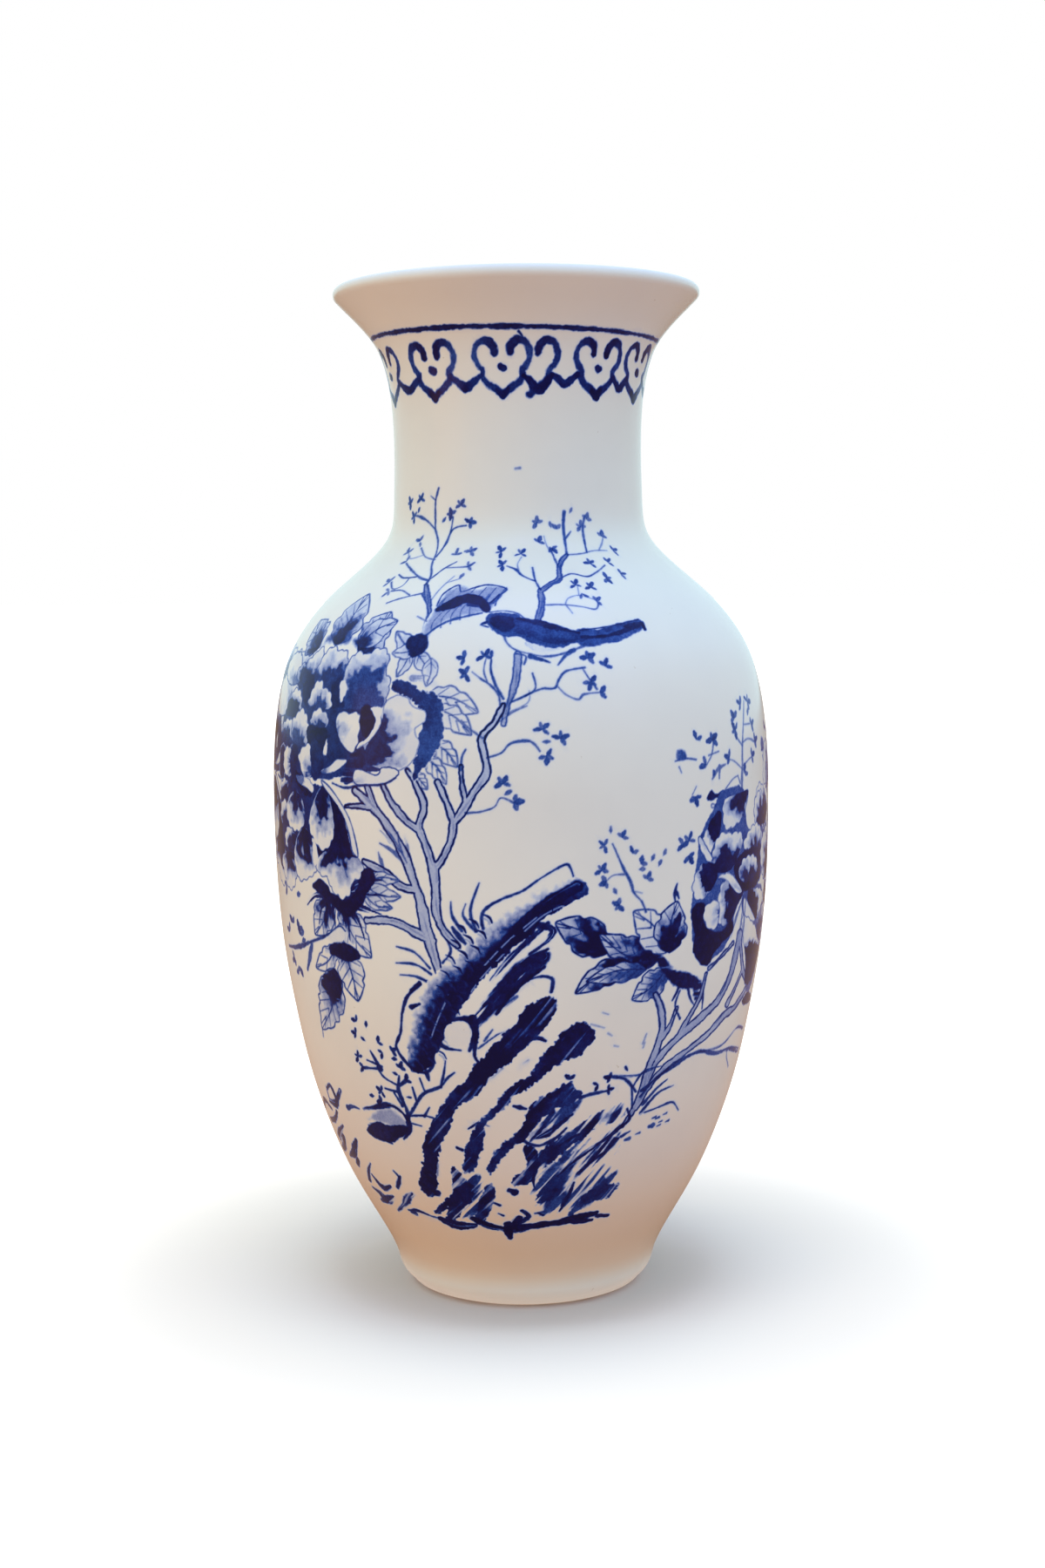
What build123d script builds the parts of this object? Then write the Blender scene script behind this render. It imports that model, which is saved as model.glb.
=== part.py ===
"""A baluster porcelain vase, thrown in three sections that are luted together on a turned foot.

Units are millimetres. The origin is the centre of the foot's resting plane and +Z is up.
Every piece is a solid of revolution about Z, so its section is drawn in the XZ plane as
(radius, height) and turned once round the axis.
"""

import math
import os

from build123d import *

# Heights that separate the pieces
HEIGHT = 360.0  # floor to the crest of the glazed lip
RING_TOP = 8.0  # top face of the turned foot ring, where the wall and the base disc sit
FLOOR_TOP = 14.0  # inside floor of the vase
WAIST_JOINT = 180.0  # luted joint between the two halves of the belly
SHOULDER_JOINT = 266.0  # luted joint between the shoulder and the neck

# Glaze
GLAZE = 0.3  # thickness of the glaze coats
BARE_EDGE = 1.7  # the glaze stops this far above the resting plane
BASE_GLAZE_EDGE = 3.0  # the same limit on the inner side of the foot ring
COAT_PITCH = 4.0  # distance between the points that carry the face of a glaze coat
COAT_LEAST_STEPS = 12  # and their least number along an edge

# Foot
DISC_RADIUS = 42.0
RING_INNER_TOP = 31.0
RING_INNER_BOTTOM = 32.0
RING_INNER_CHAMFER = 0.6
RING_OUTER_BOTTOM = 37.6
FOOT_ROUNDING = (39.7, 0.6)  # middle of the bare rounding under the foot's outer edge
GLAZE_LINE_RADIUS = 41.3  # outside radius of the foot at BARE_EDGE
FOOT_SIDE = [(43.5, 3.6), (45.2, 5.6)]  # glazed side of the foot ring
RING_OUTER_TOP = 46.3
FOOT_SLOPE = (0.27, 0.963)  # direction of the outline where the foot ring meets the wall

# Luted joints: outside and inside radii
WAIST_OUTER = 89.4
WAIST_INNER = 84.6
WAIST_LAND = 8.0  # straight stretch of the inner wall on each side of the waist joint
SHOULDER_OUTER = 51.1
SHOULDER_INNER = 45.0
SHOULDER_SLOPE = (-0.69, 0.72)

# Lip
LIP_RADIUS = 2.2
LIP_CENTRE = (62.9, HEIGHT - GLAZE - LIP_RADIUS)
FLARE_SLOPE = (0.68, 0.73)  # direction of the mouth's flare where it runs into the lip

# Slip beads
FOOT_BEAD = 6.0  # reach of the bead up the wall and over the floor
WAIST_BEAD_HALF = 7.0
WAIST_BEAD_DEPTH = 1.4
SHOULDER_BEAD_ARM = 6.0
SHOULDER_BEAD_DEPTH = 1.6

# Outline knots, as (radius, height)
LOWER_OUTER = [
    (47.1, 11.0),
    (49.1, 16.0),
    (53.4, 24.0),
    (62.5, 40.0),
    (71.3, 60.0),
    (77.8, 80.0),
    (82.3, 100.0),
    (85.8, 120.0),
    (88.05, 140.0),
    (89.1, 160.0),
]
UPPER_OUTER = [
    (88.7, 200.0),
    (85.8, 220.0),
    (82.7, 230.0),
    (77.2, 240.0),
    (68.8, 250.0),
    (57.5, 260.0),
]
NECK_OUTER = [
    (47.8, 270.0),
    (45.4, 275.0),
    (44.4, 284.0),
]
NECK_WAIST_OUTER = (44.0, 300.0)  # slimmest point of the neck, outside
MOUTH_OUTER = [
    (44.8, 320.0),
    (46.6, 330.5),
    (50.2, 340.0),
    (54.3, 345.5),
    (58.7, 350.2),
]
CONE_TOP = (47.4, 24.0)  # the wall rises from the floor as a straight cone to here
LOWER_INNER = [
    (57.0, 40.0),
    (65.9, 60.0),
    (72.6, 80.0),
    (77.2, 100.0),
    (80.8, 120.0),
    (83.1, 140.0),
    (84.3, 160.0),
]
UPPER_INNER = [
    (83.5, 202.0),
    (80.4, 220.0),
    (76.8, 230.0),
    (71.0, 240.0),
    (62.8, 250.0),
]
SHOULDER_CONE_FOOT = (55.0, 257.0)  # straight cones lead into the inside of the shoulder joint
NECK_CONE_TOP = (41.5, 274.0)
NECK_INNER = [
    (39.9, 284.0),
]
NECK_WAIST_INNER = (39.5, 300.0)  # slimmest point of the neck, inside
MOUTH_INNER = [
    (40.0, 316.0),
    (42.0, 331.0),
    (46.6, 343.0),
]


def along(start, end, distance):
    """Point at a distance from start on the line towards end."""
    length = math.dist(start, end)
    share = distance / length
    return (start[0] + (end[0] - start[0]) * share, start[1] + (end[1] - start[1]) * share)


def direction(start, end):
    """Unit vector from start to end."""
    length = math.dist(start, end)
    return ((end[0] - start[0]) / length, (end[1] - start[1]) / length)


def flat(point):
    """A point or direction as a (radius, height) pair."""
    return (point.X, point.Y)


def smooth(*points, tangents):
    """Smooth curve through points, with unit tangents at its two ends."""
    return Spline(*points, tangents=tangents, tangent_scalars=(1.0, 1.0))


def lip_point(angle):
    """Point on the lip's round section; 0 degrees is outwards and 90 is the crest."""
    turn = math.radians(angle)
    return (LIP_CENTRE[0] + LIP_RADIUS * math.cos(turn), LIP_CENTRE[1] + LIP_RADIUS * math.sin(turn))


FLARE_ANGLE = math.degrees(math.atan2(FLARE_SLOPE[1], FLARE_SLOPE[0]))
LIP_OUTER = lip_point(FLARE_ANGLE - 90.0)
LIP_CREST = lip_point(90.0)
LIP_INNER = lip_point(FLARE_ANGLE + 90.0)


def foot_outline():
    """Outside of the foot ring: the bare rounding, then the glazed side."""
    bare = ThreePointArc(
        (RING_OUTER_BOTTOM, 0.0),
        FOOT_ROUNDING,
        (GLAZE_LINE_RADIUS, BARE_EDGE),
    )
    glazed = smooth(
        (GLAZE_LINE_RADIUS, BARE_EDGE),
        *FOOT_SIDE,
        (RING_OUTER_TOP, RING_TOP),
        tangents=[bare % 1, FOOT_SLOPE],
    )
    return [bare, glazed]


def lower_outline():
    """Outside of the lower body, from the foot ring up to the waist joint."""
    return smooth(
        (RING_OUTER_TOP, RING_TOP),
        *LOWER_OUTER,
        (WAIST_OUTER, WAIST_JOINT),
        tangents=[FOOT_SLOPE, (0.0, 1.0)],
    )


def upper_outline():
    """Outside of the upper body, from the waist joint over the shoulder."""
    return smooth(
        (WAIST_OUTER, WAIST_JOINT),
        *UPPER_OUTER,
        (SHOULDER_OUTER, SHOULDER_JOINT),
        tangents=[(0.0, 1.0), SHOULDER_SLOPE],
    )


def neck_outline():
    """Outside of the neck up to its slimmest point, then of the flared mouth up to the lip."""
    neck = smooth(
        (SHOULDER_OUTER, SHOULDER_JOINT),
        *NECK_OUTER,
        NECK_WAIST_OUTER,
        tangents=[SHOULDER_SLOPE, (0.0, 1.0)],
    )
    mouth = smooth(
        NECK_WAIST_OUTER,
        *MOUTH_OUTER,
        LIP_OUTER,
        tangents=[(0.0, 1.0), FLARE_SLOPE],
    )
    return [neck, mouth]


def lip_outline():
    """The lip's two arcs, from the flare over the crest and into the mouth."""
    outer = ThreePointArc(LIP_OUTER, lip_point(FLARE_ANGLE / 2), LIP_CREST)
    inner = ThreePointArc(LIP_CREST, lip_point(FLARE_ANGLE / 2 + 90.0), LIP_INNER)
    return [outer, inner]


def neck_lining():
    """Inside of the mouth down to the slimmest point, then of the neck down to the joint's cone."""
    mouth = smooth(
        LIP_INNER,
        *reversed(MOUTH_INNER),
        NECK_WAIST_INNER,
        tangents=[(-FLARE_SLOPE[0], -FLARE_SLOPE[1]), (0.0, -1.0)],
    )
    neck = smooth(
        NECK_WAIST_INNER,
        *reversed(NECK_INNER),
        NECK_CONE_TOP,
        tangents=[(0.0, -1.0), direction(NECK_CONE_TOP, (SHOULDER_INNER, SHOULDER_JOINT))],
    )
    return [mouth, neck]


def upper_lining():
    """Inside of the shoulder, from its cone down to the straight land above the waist joint."""
    return smooth(
        SHOULDER_CONE_FOOT,
        *reversed(UPPER_INNER),
        (WAIST_INNER, WAIST_JOINT + WAIST_LAND),
        tangents=[
            direction((SHOULDER_INNER, SHOULDER_JOINT), SHOULDER_CONE_FOOT),
            (0.0, -1.0),
        ],
    )


def lower_lining():
    """Inside of the lower body, from the land below the waist joint down to the floor's cone."""
    return smooth(
        (WAIST_INNER, WAIST_JOINT - WAIST_LAND),
        *reversed(LOWER_INNER),
        CONE_TOP,
        tangents=[(0.0, -1.0), direction(CONE_TOP, (DISC_RADIUS, FLOOR_TOP))],
    )


def section(*edges):
    """Flat face in the XZ plane from edges drawn as (radius, height)."""
    return Plane.XZ * make_face(list(edges))


def turned(*edges):
    """Solid of revolution about Z from a closed outline."""
    return revolve(section(*edges), Axis.Z, 360.0)


def foot_ring():
    """Turned foot: flat narrow resting face, rounded outside, nearly upright inside."""
    side = Polyline(
        (RING_OUTER_TOP, RING_TOP),
        (RING_INNER_TOP, RING_TOP),
        (RING_INNER_BOTTOM, RING_INNER_CHAMFER),
        (RING_INNER_BOTTOM + RING_INNER_CHAMFER, 0.0),
        (RING_OUTER_BOTTOM, 0.0),
    )
    return turned(*foot_outline(), side)


def base_disc():
    """Floor of the vase, a flat disc held inside the wall and on the foot ring."""
    outline = Polyline(
        (0.0, RING_TOP),
        (DISC_RADIUS, RING_TOP),
        (DISC_RADIUS, FLOOR_TOP),
        (0.0, FLOOR_TOP),
        close=True,
    )
    return turned(outline)


def lower_body():
    """Thrown wall from the foot ring to the waist joint."""
    land = Polyline(
        (WAIST_OUTER, WAIST_JOINT),
        (WAIST_INNER, WAIST_JOINT),
        (WAIST_INNER, WAIST_JOINT - WAIST_LAND),
    )
    seat = Polyline(
        CONE_TOP,
        (DISC_RADIUS, FLOOR_TOP),
        (DISC_RADIUS, RING_TOP),
        (RING_OUTER_TOP, RING_TOP),
    )
    return turned(lower_outline(), land, lower_lining(), seat)


def upper_body():
    """Thrown wall from the waist joint over the shoulder to the neck joint."""
    top = Polyline(
        (SHOULDER_OUTER, SHOULDER_JOINT),
        (SHOULDER_INNER, SHOULDER_JOINT),
        SHOULDER_CONE_FOOT,
    )
    land = Polyline(
        (WAIST_INNER, WAIST_JOINT + WAIST_LAND),
        (WAIST_INNER, WAIST_JOINT),
        (WAIST_OUTER, WAIST_JOINT),
    )
    return turned(upper_outline(), top, upper_lining(), land)


def neck_and_mouth():
    """Thrown neck with its flared mouth and rounded lip."""
    foot = Polyline(
        NECK_CONE_TOP,
        (SHOULDER_INNER, SHOULDER_JOINT),
        (SHOULDER_OUTER, SHOULDER_JOINT),
    )
    return turned(*neck_outline(), *lip_outline(), *neck_lining(), foot)


def foot_seam_curve():
    """Face of the slip fillet, tangent to the wall's cone and to the floor."""
    corner = (DISC_RADIUS, FLOOR_TOP)
    on_wall = along(corner, CONE_TOP, FOOT_BEAD)
    on_floor = (DISC_RADIUS - FOOT_BEAD, FLOOR_TOP)
    return TangentArc(on_wall, on_floor, tangent=direction(CONE_TOP, corner))


def waist_seam_curve():
    """Face of the waist joint's bead, from its upper edge to its lower edge."""
    return smooth(
        (WAIST_INNER, WAIST_JOINT + WAIST_BEAD_HALF),
        (WAIST_INNER - WAIST_BEAD_DEPTH, WAIST_JOINT),
        (WAIST_INNER, WAIST_JOINT - WAIST_BEAD_HALF),
        tangents=[(0.0, -1.0), (0.0, -1.0)],
    )


def shoulder_seam_curve():
    """Face of the shoulder joint's bead, from its upper edge to its lower edge."""
    corner = (SHOULDER_INNER, SHOULDER_JOINT)
    upper = along(corner, NECK_CONE_TOP, SHOULDER_BEAD_ARM)
    lower = along(corner, SHOULDER_CONE_FOOT, SHOULDER_BEAD_ARM)
    across = direction(upper, lower)
    middle = (corner[0] + across[1] * SHOULDER_BEAD_DEPTH, corner[1] - across[0] * SHOULDER_BEAD_DEPTH)
    return smooth(
        upper,
        middle,
        lower,
        tangents=[direction(NECK_CONE_TOP, corner), direction(corner, SHOULDER_CONE_FOOT)],
    )


def foot_seam():
    """Slip fillet smoothed into the corner between the base disc and the wall."""
    face = foot_seam_curve()
    return turned(face, Polyline(flat(face @ 1), (DISC_RADIUS, FLOOR_TOP), flat(face @ 0)))


def waist_seam():
    """Low slip bead that covers the waist joint inside."""
    face = waist_seam_curve()
    return turned(face, Line(flat(face @ 1), flat(face @ 0)))


def shoulder_seam():
    """Low slip bead that covers the shoulder joint inside."""
    face = shoulder_seam_curve()
    return turned(face, Polyline(flat(face @ 1), (SHOULDER_INNER, SHOULDER_JOINT), flat(face @ 0)))


def coat_curve(edge):
    """Face of a glaze coat over an edge, on the right of the edge's direction."""
    steps = max(COAT_LEAST_STEPS, round(edge.length / COAT_PITCH))
    points = []
    for step in range(steps + 1):
        spot = edge @ (step / steps)
        heading = edge % (step / steps)
        points.append((spot.X + heading.Y * GLAZE, spot.Y - heading.X * GLAZE))
    return smooth(*points, tangents=[flat(edge % 0), flat(edge % 1)])


def glaze_coat(path):
    """Solid coat over a smooth run of edges."""
    faces = [coat_curve(edge) for edge in path]
    first = Line(flat(path[0] @ 0), flat(faces[0] @ 0))
    last = Line(flat(path[-1] @ 1), flat(faces[-1] @ 1))
    return turned(*path, *faces, first, last)


def outer_glaze():
    """Glaze on the outside, from the bare foot edge up to the lip's crest."""
    path = [
        foot_outline()[1],
        lower_outline(),
        upper_outline(),
        *neck_outline(),
        lip_outline()[0],
    ]
    return glaze_coat(path)


def inner_glaze():
    """Glaze on the inside, from the lip's crest down over the seams to the floor."""
    shoulder = shoulder_seam_curve()
    waist = waist_seam_curve()
    foot = foot_seam_curve()
    path = [
        lip_outline()[1],
        *neck_lining(),
        Line(NECK_CONE_TOP, flat(shoulder @ 0)),
        shoulder,
        Line(flat(shoulder @ 1), SHOULDER_CONE_FOOT),
        upper_lining(),
        Line((WAIST_INNER, WAIST_JOINT + WAIST_LAND), flat(waist @ 0)),
        waist,
        Line(flat(waist @ 1), (WAIST_INNER, WAIST_JOINT - WAIST_LAND)),
        lower_lining(),
        Line(CONE_TOP, flat(foot @ 0)),
        foot,
        Line(flat(foot @ 1), (0.0, FLOOR_TOP)),
    ]
    return glaze_coat(path)


def base_glaze():
    """Glaze in the recess of the foot: the disc's underside and the ring's inner side."""
    rise = (RING_TOP - BASE_GLAZE_EDGE) / (RING_TOP - RING_INNER_CHAMFER)
    edge_radius = RING_INNER_TOP + (RING_INNER_BOTTOM - RING_INNER_TOP) * rise
    outline = Polyline(
        (0.0, RING_TOP),
        (RING_INNER_TOP, RING_TOP),
        (edge_radius, BASE_GLAZE_EDGE),
        (edge_radius - GLAZE, BASE_GLAZE_EDGE),
        (RING_INNER_TOP - GLAZE, RING_TOP - GLAZE),
        (0.0, RING_TOP - GLAZE),
        close=True,
    )
    return turned(outline)


PIECES = {
    "foot_ring": foot_ring,
    "base_disc": base_disc,
    "lower_body": lower_body,
    "upper_body": upper_body,
    "neck_and_mouth": neck_and_mouth,
    "foot_seam": foot_seam,
    "waist_seam": waist_seam,
    "shoulder_seam": shoulder_seam,
    "outer_glaze": outer_glaze,
    "inner_glaze": inner_glaze,
    "base_glaze": base_glaze,
}


def main():
    os.makedirs("parts", exist_ok=True)
    for name, build in PIECES.items():
        piece = build()
        piece.label = name
        export_step(piece, f"parts/{name}.step")
        box = piece.bounding_box()
        print(f"{name}: {piece.volume:.0f} mm3, z {box.min.Z:.2f} to {box.max.Z:.2f}")


main()
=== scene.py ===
"""A blue-and-white porcelain vase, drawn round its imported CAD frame.

The painting is laid stroke by stroke on a sheet that wraps the outer glaze, and is carried by the
glaze's own mesh, which is fine under the brushwork and coarse under bare porcelain.
"""

import math

import bpy
import numpy as np
from mathutils import Matrix, Vector


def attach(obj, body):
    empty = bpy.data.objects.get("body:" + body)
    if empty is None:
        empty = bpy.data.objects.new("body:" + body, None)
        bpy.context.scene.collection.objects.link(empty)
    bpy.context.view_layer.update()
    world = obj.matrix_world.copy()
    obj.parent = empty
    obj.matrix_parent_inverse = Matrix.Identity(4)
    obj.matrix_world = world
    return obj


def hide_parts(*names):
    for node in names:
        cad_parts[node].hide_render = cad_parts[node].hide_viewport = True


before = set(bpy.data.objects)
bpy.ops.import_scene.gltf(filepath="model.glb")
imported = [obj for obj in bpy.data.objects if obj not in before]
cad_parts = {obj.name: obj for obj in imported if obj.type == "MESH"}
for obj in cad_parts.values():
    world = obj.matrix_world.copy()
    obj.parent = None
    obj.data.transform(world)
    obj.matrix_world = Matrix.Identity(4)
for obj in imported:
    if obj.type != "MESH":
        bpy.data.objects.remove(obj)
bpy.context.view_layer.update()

MM = 0.001


# ---------------------------------------------------------------------------------------------
# Outlines, read from the CAD coats of glaze. Each is a list of (radius, height) in mm.

POINT_GAP = 0.9  # mm, the least distance between two points of an outline
END_GAP = 0.2  # mm, the same limit for its last point


def coat_points(node, side, lean):
    """The points of one side of a coat of glaze, in order up it: side is 1 outside, -1 inside.

    Lean puts points of one height in order where the coat turns over the lip or under the foot."""
    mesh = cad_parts[node].data
    place = np.zeros(len(mesh.vertices) * 3)
    mesh.vertices.foreach_get("co", place)
    normal = np.zeros(len(mesh.vertices) * 3)
    mesh.vertices.foreach_get("normal", normal)
    place, normal = place.reshape(-1, 3) / MM, normal.reshape(-1, 3)
    radius = np.hypot(place[:, 0], place[:, 1])
    outward = (place[:, :2] * normal[:, :2]).sum(axis=1) / np.maximum(radius, 1e-6)
    shown = side * outward + 0.2 * normal[:, 2] > 0.02
    points = np.column_stack([radius, place[:, 2]])[shown]
    points = points[np.argsort(points[:, 1] + lean * points[:, 0])]
    kept = [points[0]]
    for point in points[1:]:
        if math.dist(point, kept[-1]) > POINT_GAP:
            kept.append(point)
    if math.dist(points[-1], kept[-1]) > END_GAP:
        kept.append(points[-1])
    return np.array(kept)


def smooth_outline(points, count):
    """Evenly spaced points on a smooth curve through some points, with the way each faces."""
    steps = np.hypot(*np.diff(points, axis=0).T)
    marks = np.concatenate([[0], np.cumsum(steps)])
    slopes = np.gradient(points, marks, axis=0)
    length = np.linspace(0, marks[-1], count)
    span = np.clip(np.searchsorted(marks, length) - 1, 0, len(steps) - 1)
    size = steps[span][:, None]
    t = (length - marks[span])[:, None] / size
    start, end = points[span], points[span + 1]
    leave, arrive = slopes[span] * size, slopes[span + 1] * size
    places = (
        start * (1 - t) ** 2 * (1 + 2 * t)
        + end * t**2 * (3 - 2 * t)
        + leave * t * (1 - t) ** 2
        - arrive * t**2 * (1 - t)
    )
    along = np.gradient(places, length, axis=0)
    facing = np.column_stack([along[:, 1], -along[:, 0]])
    facing /= np.hypot(*facing.T)[:, None]
    return length, places, facing


# ---------------------------------------------------------------------------------------------
# The painter's tools. The painting is a sheet of cobalt strength over the outer glaze: rows run
# up the outline, columns run round the vase. A place is (angle in degrees, height in mm); the
# front is 0 degrees, and angles grow to the right. 0 is bare porcelain and 1 is the darkest blue.

SHEET_COLUMNS = 1920
CELL_ANGLE = 360 / SHEET_COLUMNS
FAR = 1000.0  # mm, more than any distance on the sheet
STROKE_MARGIN = 1.6  # mm beyond a stroke's side that its ragged edge and its bleed can reach
WAVE_PITCH, BITE_PITCH = 2.1, 0.6  # mm, the two sizes of a ragged edge's raggedness
GRAIN_PITCH = 0.7  # mm, the pigment's grain
BRISTLE_LENGTH, BRISTLE_WIDTH = 5, 0.42  # mm, the gaps in a dry stroke
WASH_BRISTLE_LENGTH, WASH_BRISTLE_WIDTH = 6, 0.55  # mm, the gaps in a dry wash
BARK_LENGTH, BARK_WIDTH = 4, 0.45  # mm, the streaks along a branch
OUTLINE_STEPS = 4  # steps between the points of a filled shape's outline
LOBE_PITCH = 4.2  # mm between the lobes of a scalloped rim
RIM_SLICES = 48  # directions in which a petal's rim is measured from its root
OVERLAP = 0.3  # how much the weaker of two layers of cobalt adds to the stronger


def smoothstep(low, high, value):
    """0 below low, 1 above high, and a smooth rise between them."""
    share = np.clip((value - low) / (high - low), 0, 1)
    return share * share * (3 - 2 * share)


class Grain:
    """Smooth noise that repeats, from 0 to 1, with every level equally common."""

    SIZE = 256

    def __init__(self, seed, falloff):
        white = np.random.default_rng(seed).standard_normal((self.SIZE, self.SIZE))
        wave = np.fft.fftfreq(self.SIZE) * self.SIZE
        pitch = np.hypot(wave[:, None], wave[None, :])
        weight = np.exp(-((pitch / (self.SIZE * 0.45)) ** 2)) / np.maximum(pitch, 1) ** falloff
        table = np.fft.ifft2(np.fft.fft2(white) * weight).real
        order = np.argsort(np.argsort(table.ravel()))
        self.table = (order / order.size).reshape(table.shape).astype(np.float32)

    def at(self, x, y):
        """The noise at a place given in cells of the table."""
        x, y = np.broadcast_arrays(x, y)
        column, row = np.floor(x).astype(int), np.floor(y).astype(int)
        fx, fy = x - column, y - row
        size = self.SIZE
        low, high = row % size, (row + 1) % size
        left, right = column % size, (column + 1) % size
        lower = self.table[low, left] * (1 - fx) + self.table[low, right] * fx
        upper = self.table[high, left] * (1 - fx) + self.table[high, right] * fx
        return lower * (1 - fy) + upper * fy


class Sheet:
    """The cobalt on the outer glaze, with each row's height, place up the outline and radius."""

    def __init__(self, heights, lengths, radii):
        self.lengths, self.radii = lengths, radii
        self.cobalt = np.zeros((len(lengths), SHEET_COLUMNS), np.float32)
        self.turn = 0.0
        top = int(np.argmax(heights)) + 1
        self.rising_heights, self.rising_lengths = heights[:top], lengths[:top]
        self.rising_radii = radii[:top]

    def place(self, point):
        """(angle, height) as (angle, length up the outline), turned to where the motif goes."""
        return self.turn + point[0], float(np.interp(point[1], self.rising_heights, self.rising_lengths))

    def radius_at(self, height):
        return float(np.interp(height, self.rising_heights, self.rising_radii))

    def places(self, points):
        return np.array([self.place(point) for point in points], float)


class Window:
    """The part of the sheet within reach mm of some places."""

    def __init__(self, places, reach):
        low, high = places[:, 1].min() - reach, places[:, 1].max() + reach
        first, last = np.searchsorted(sheet.lengths, (low, high))
        self.rows = np.arange(first, max(last, first + 2).clip(max=len(sheet.lengths)))
        radii = sheet.radii[self.rows]
        spread = math.degrees(reach / radii.min())
        left = math.floor((places[:, 0].min() - spread) / CELL_ANGLE)
        right = math.ceil((places[:, 0].max() + spread) / CELL_ANGLE)
        self.columns = np.arange(left, right + 1)
        self.angles = self.columns[None, :] * CELL_ANGLE
        self.up = sheet.lengths[self.rows][:, None]
        self.scale = np.radians(radii)[:, None]
        self.cells = np.ix_(self.rows, self.columns % SHEET_COLUMNS)
        self.shape = (len(self.rows), len(self.columns))
        self.x, self.y = self.scale * self.angles, self.up

    def across(self, angle):
        return self.scale * (self.angles - angle)

    def lay(self, strength):
        """Cobalt over cobalt: the stronger shows, and an overlap is a little stronger still."""
        old = sheet.cobalt[self.cells]
        top, under = np.maximum(old, strength), np.minimum(old, strength)
        sheet.cobalt[self.cells] = top + OVERLAP * under * (1 - top)

    def cover(self, mask, strength):
        """Paint that takes the place of what is there, as where one petal lies over another."""
        sheet.cobalt[self.cells] = sheet.cobalt[self.cells] * (1 - mask) + mask * strength


def curve(points, closed=False, steps=5):
    """A smooth curve through given points, as (angle, length up the outline)."""
    places = sheet.places(points)
    count = len(places)
    spans = count if closed else count - 1
    share = np.arange(steps)[:, None] / steps
    runs = []
    for span in range(spans):
        around = [span - 1, span, span + 1, span + 2]
        around = [i % count if closed else min(max(i, 0), count - 1) for i in around]
        before, start, end, after = places[around]
        bend = 2 * before - 5 * start + 4 * end - after
        twist = 3 * start - 3 * end + after - before
        runs.append(0.5 * (2 * start + (end - before) * share + bend * share**2 + twist * share**3))
    runs.append(places[:1] if closed else places[-1:])
    return np.vstack(runs)


def near(window, path, reach):
    """Each cell's distance to a path in mm, the share of the path passed there, and its side."""
    distance = np.full(window.shape, FAR, np.float32)
    passed = np.zeros(window.shape, np.float32)
    side = np.zeros(window.shape, np.float32)
    middle = float(np.median(window.scale))
    steps = np.hypot(np.diff(path[:, 0]) * middle, np.diff(path[:, 1]))
    marks = np.concatenate([[0], np.cumsum(steps)])
    spread = reach / float(window.scale.min())
    first_angle = window.angles[0, 0]
    for k, (a, b) in enumerate(zip(path, path[1:])):
        if steps[k] == 0:
            continue
        low, high = np.searchsorted(window.up[:, 0], (min(a[1], b[1]) - reach, max(a[1], b[1]) + reach))
        left = max(int((min(a[0], b[0]) - spread - first_angle) / CELL_ANGLE), 0)
        right = max(int((max(a[0], b[0]) + spread - first_angle) / CELL_ANGLE) + 2, 0)
        part = np.s_[low:high, left:right]
        scale = window.scale[low:high]
        x = scale * (window.angles[:, left:right] - a[0])
        y = window.up[low:high] - a[1]
        dx, dy = scale * (b[0] - a[0]), b[1] - a[1]
        share = np.clip((x * dx + y * dy) / (dx * dx + dy * dy), 0, 1)
        gap = np.hypot(x - share * dx, y - share * dy)
        closer = gap < distance[part]
        distance[part] = np.where(closer, gap, distance[part])
        passed[part] = np.where(closer, marks[k] + share * steps[k], passed[part])
        side[part] = np.where(closer, np.sign(dx * y - dy * x), side[part])
    return distance, passed / marks[-1], side, marks[-1]


def inside(window, path):
    """Which cells a closed path goes round."""
    crossed = np.zeros(window.shape, bool)
    for (a, low), (b, high) in zip(path, path[1:]):
        if low == high:
            continue
        level = (window.up > min(low, high)) & (window.up <= max(low, high))
        crossing = a + (window.up - low) * (b - a) / (high - low)
        crossed ^= level & (window.angles < crossing)
    return crossed


def spread_out(values, share):
    """One value, or several spaced evenly along a stroke, at each share of its length."""
    values = np.atleast_1d(values).astype(float)
    return np.interp(share, np.linspace(0, 1, len(values)), values)


def mottled(window, strength, wet=8.0):
    """Brushwork with the uneven depth of cobalt: broad pools wet mm across, and fine grains."""
    pools = cloud.at(window.x / wet, window.y / wet)
    grains = grain.at(window.x / GRAIN_PITCH, window.y / GRAIN_PITCH)
    return strength * (0.74 + 0.37 * pools - 0.16 * grains * pools)


def wander(window, coarse, fine):
    """How far an edge strays, in mm: in slow waves, and in small bites."""
    slow = grain.at(window.x / WAVE_PITCH, window.y / WAVE_PITCH) - 0.5
    quick = grain.at(window.x / BITE_PITCH + 90, window.y / BITE_PITCH) - 0.5
    return coarse * slow + fine * quick


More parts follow.
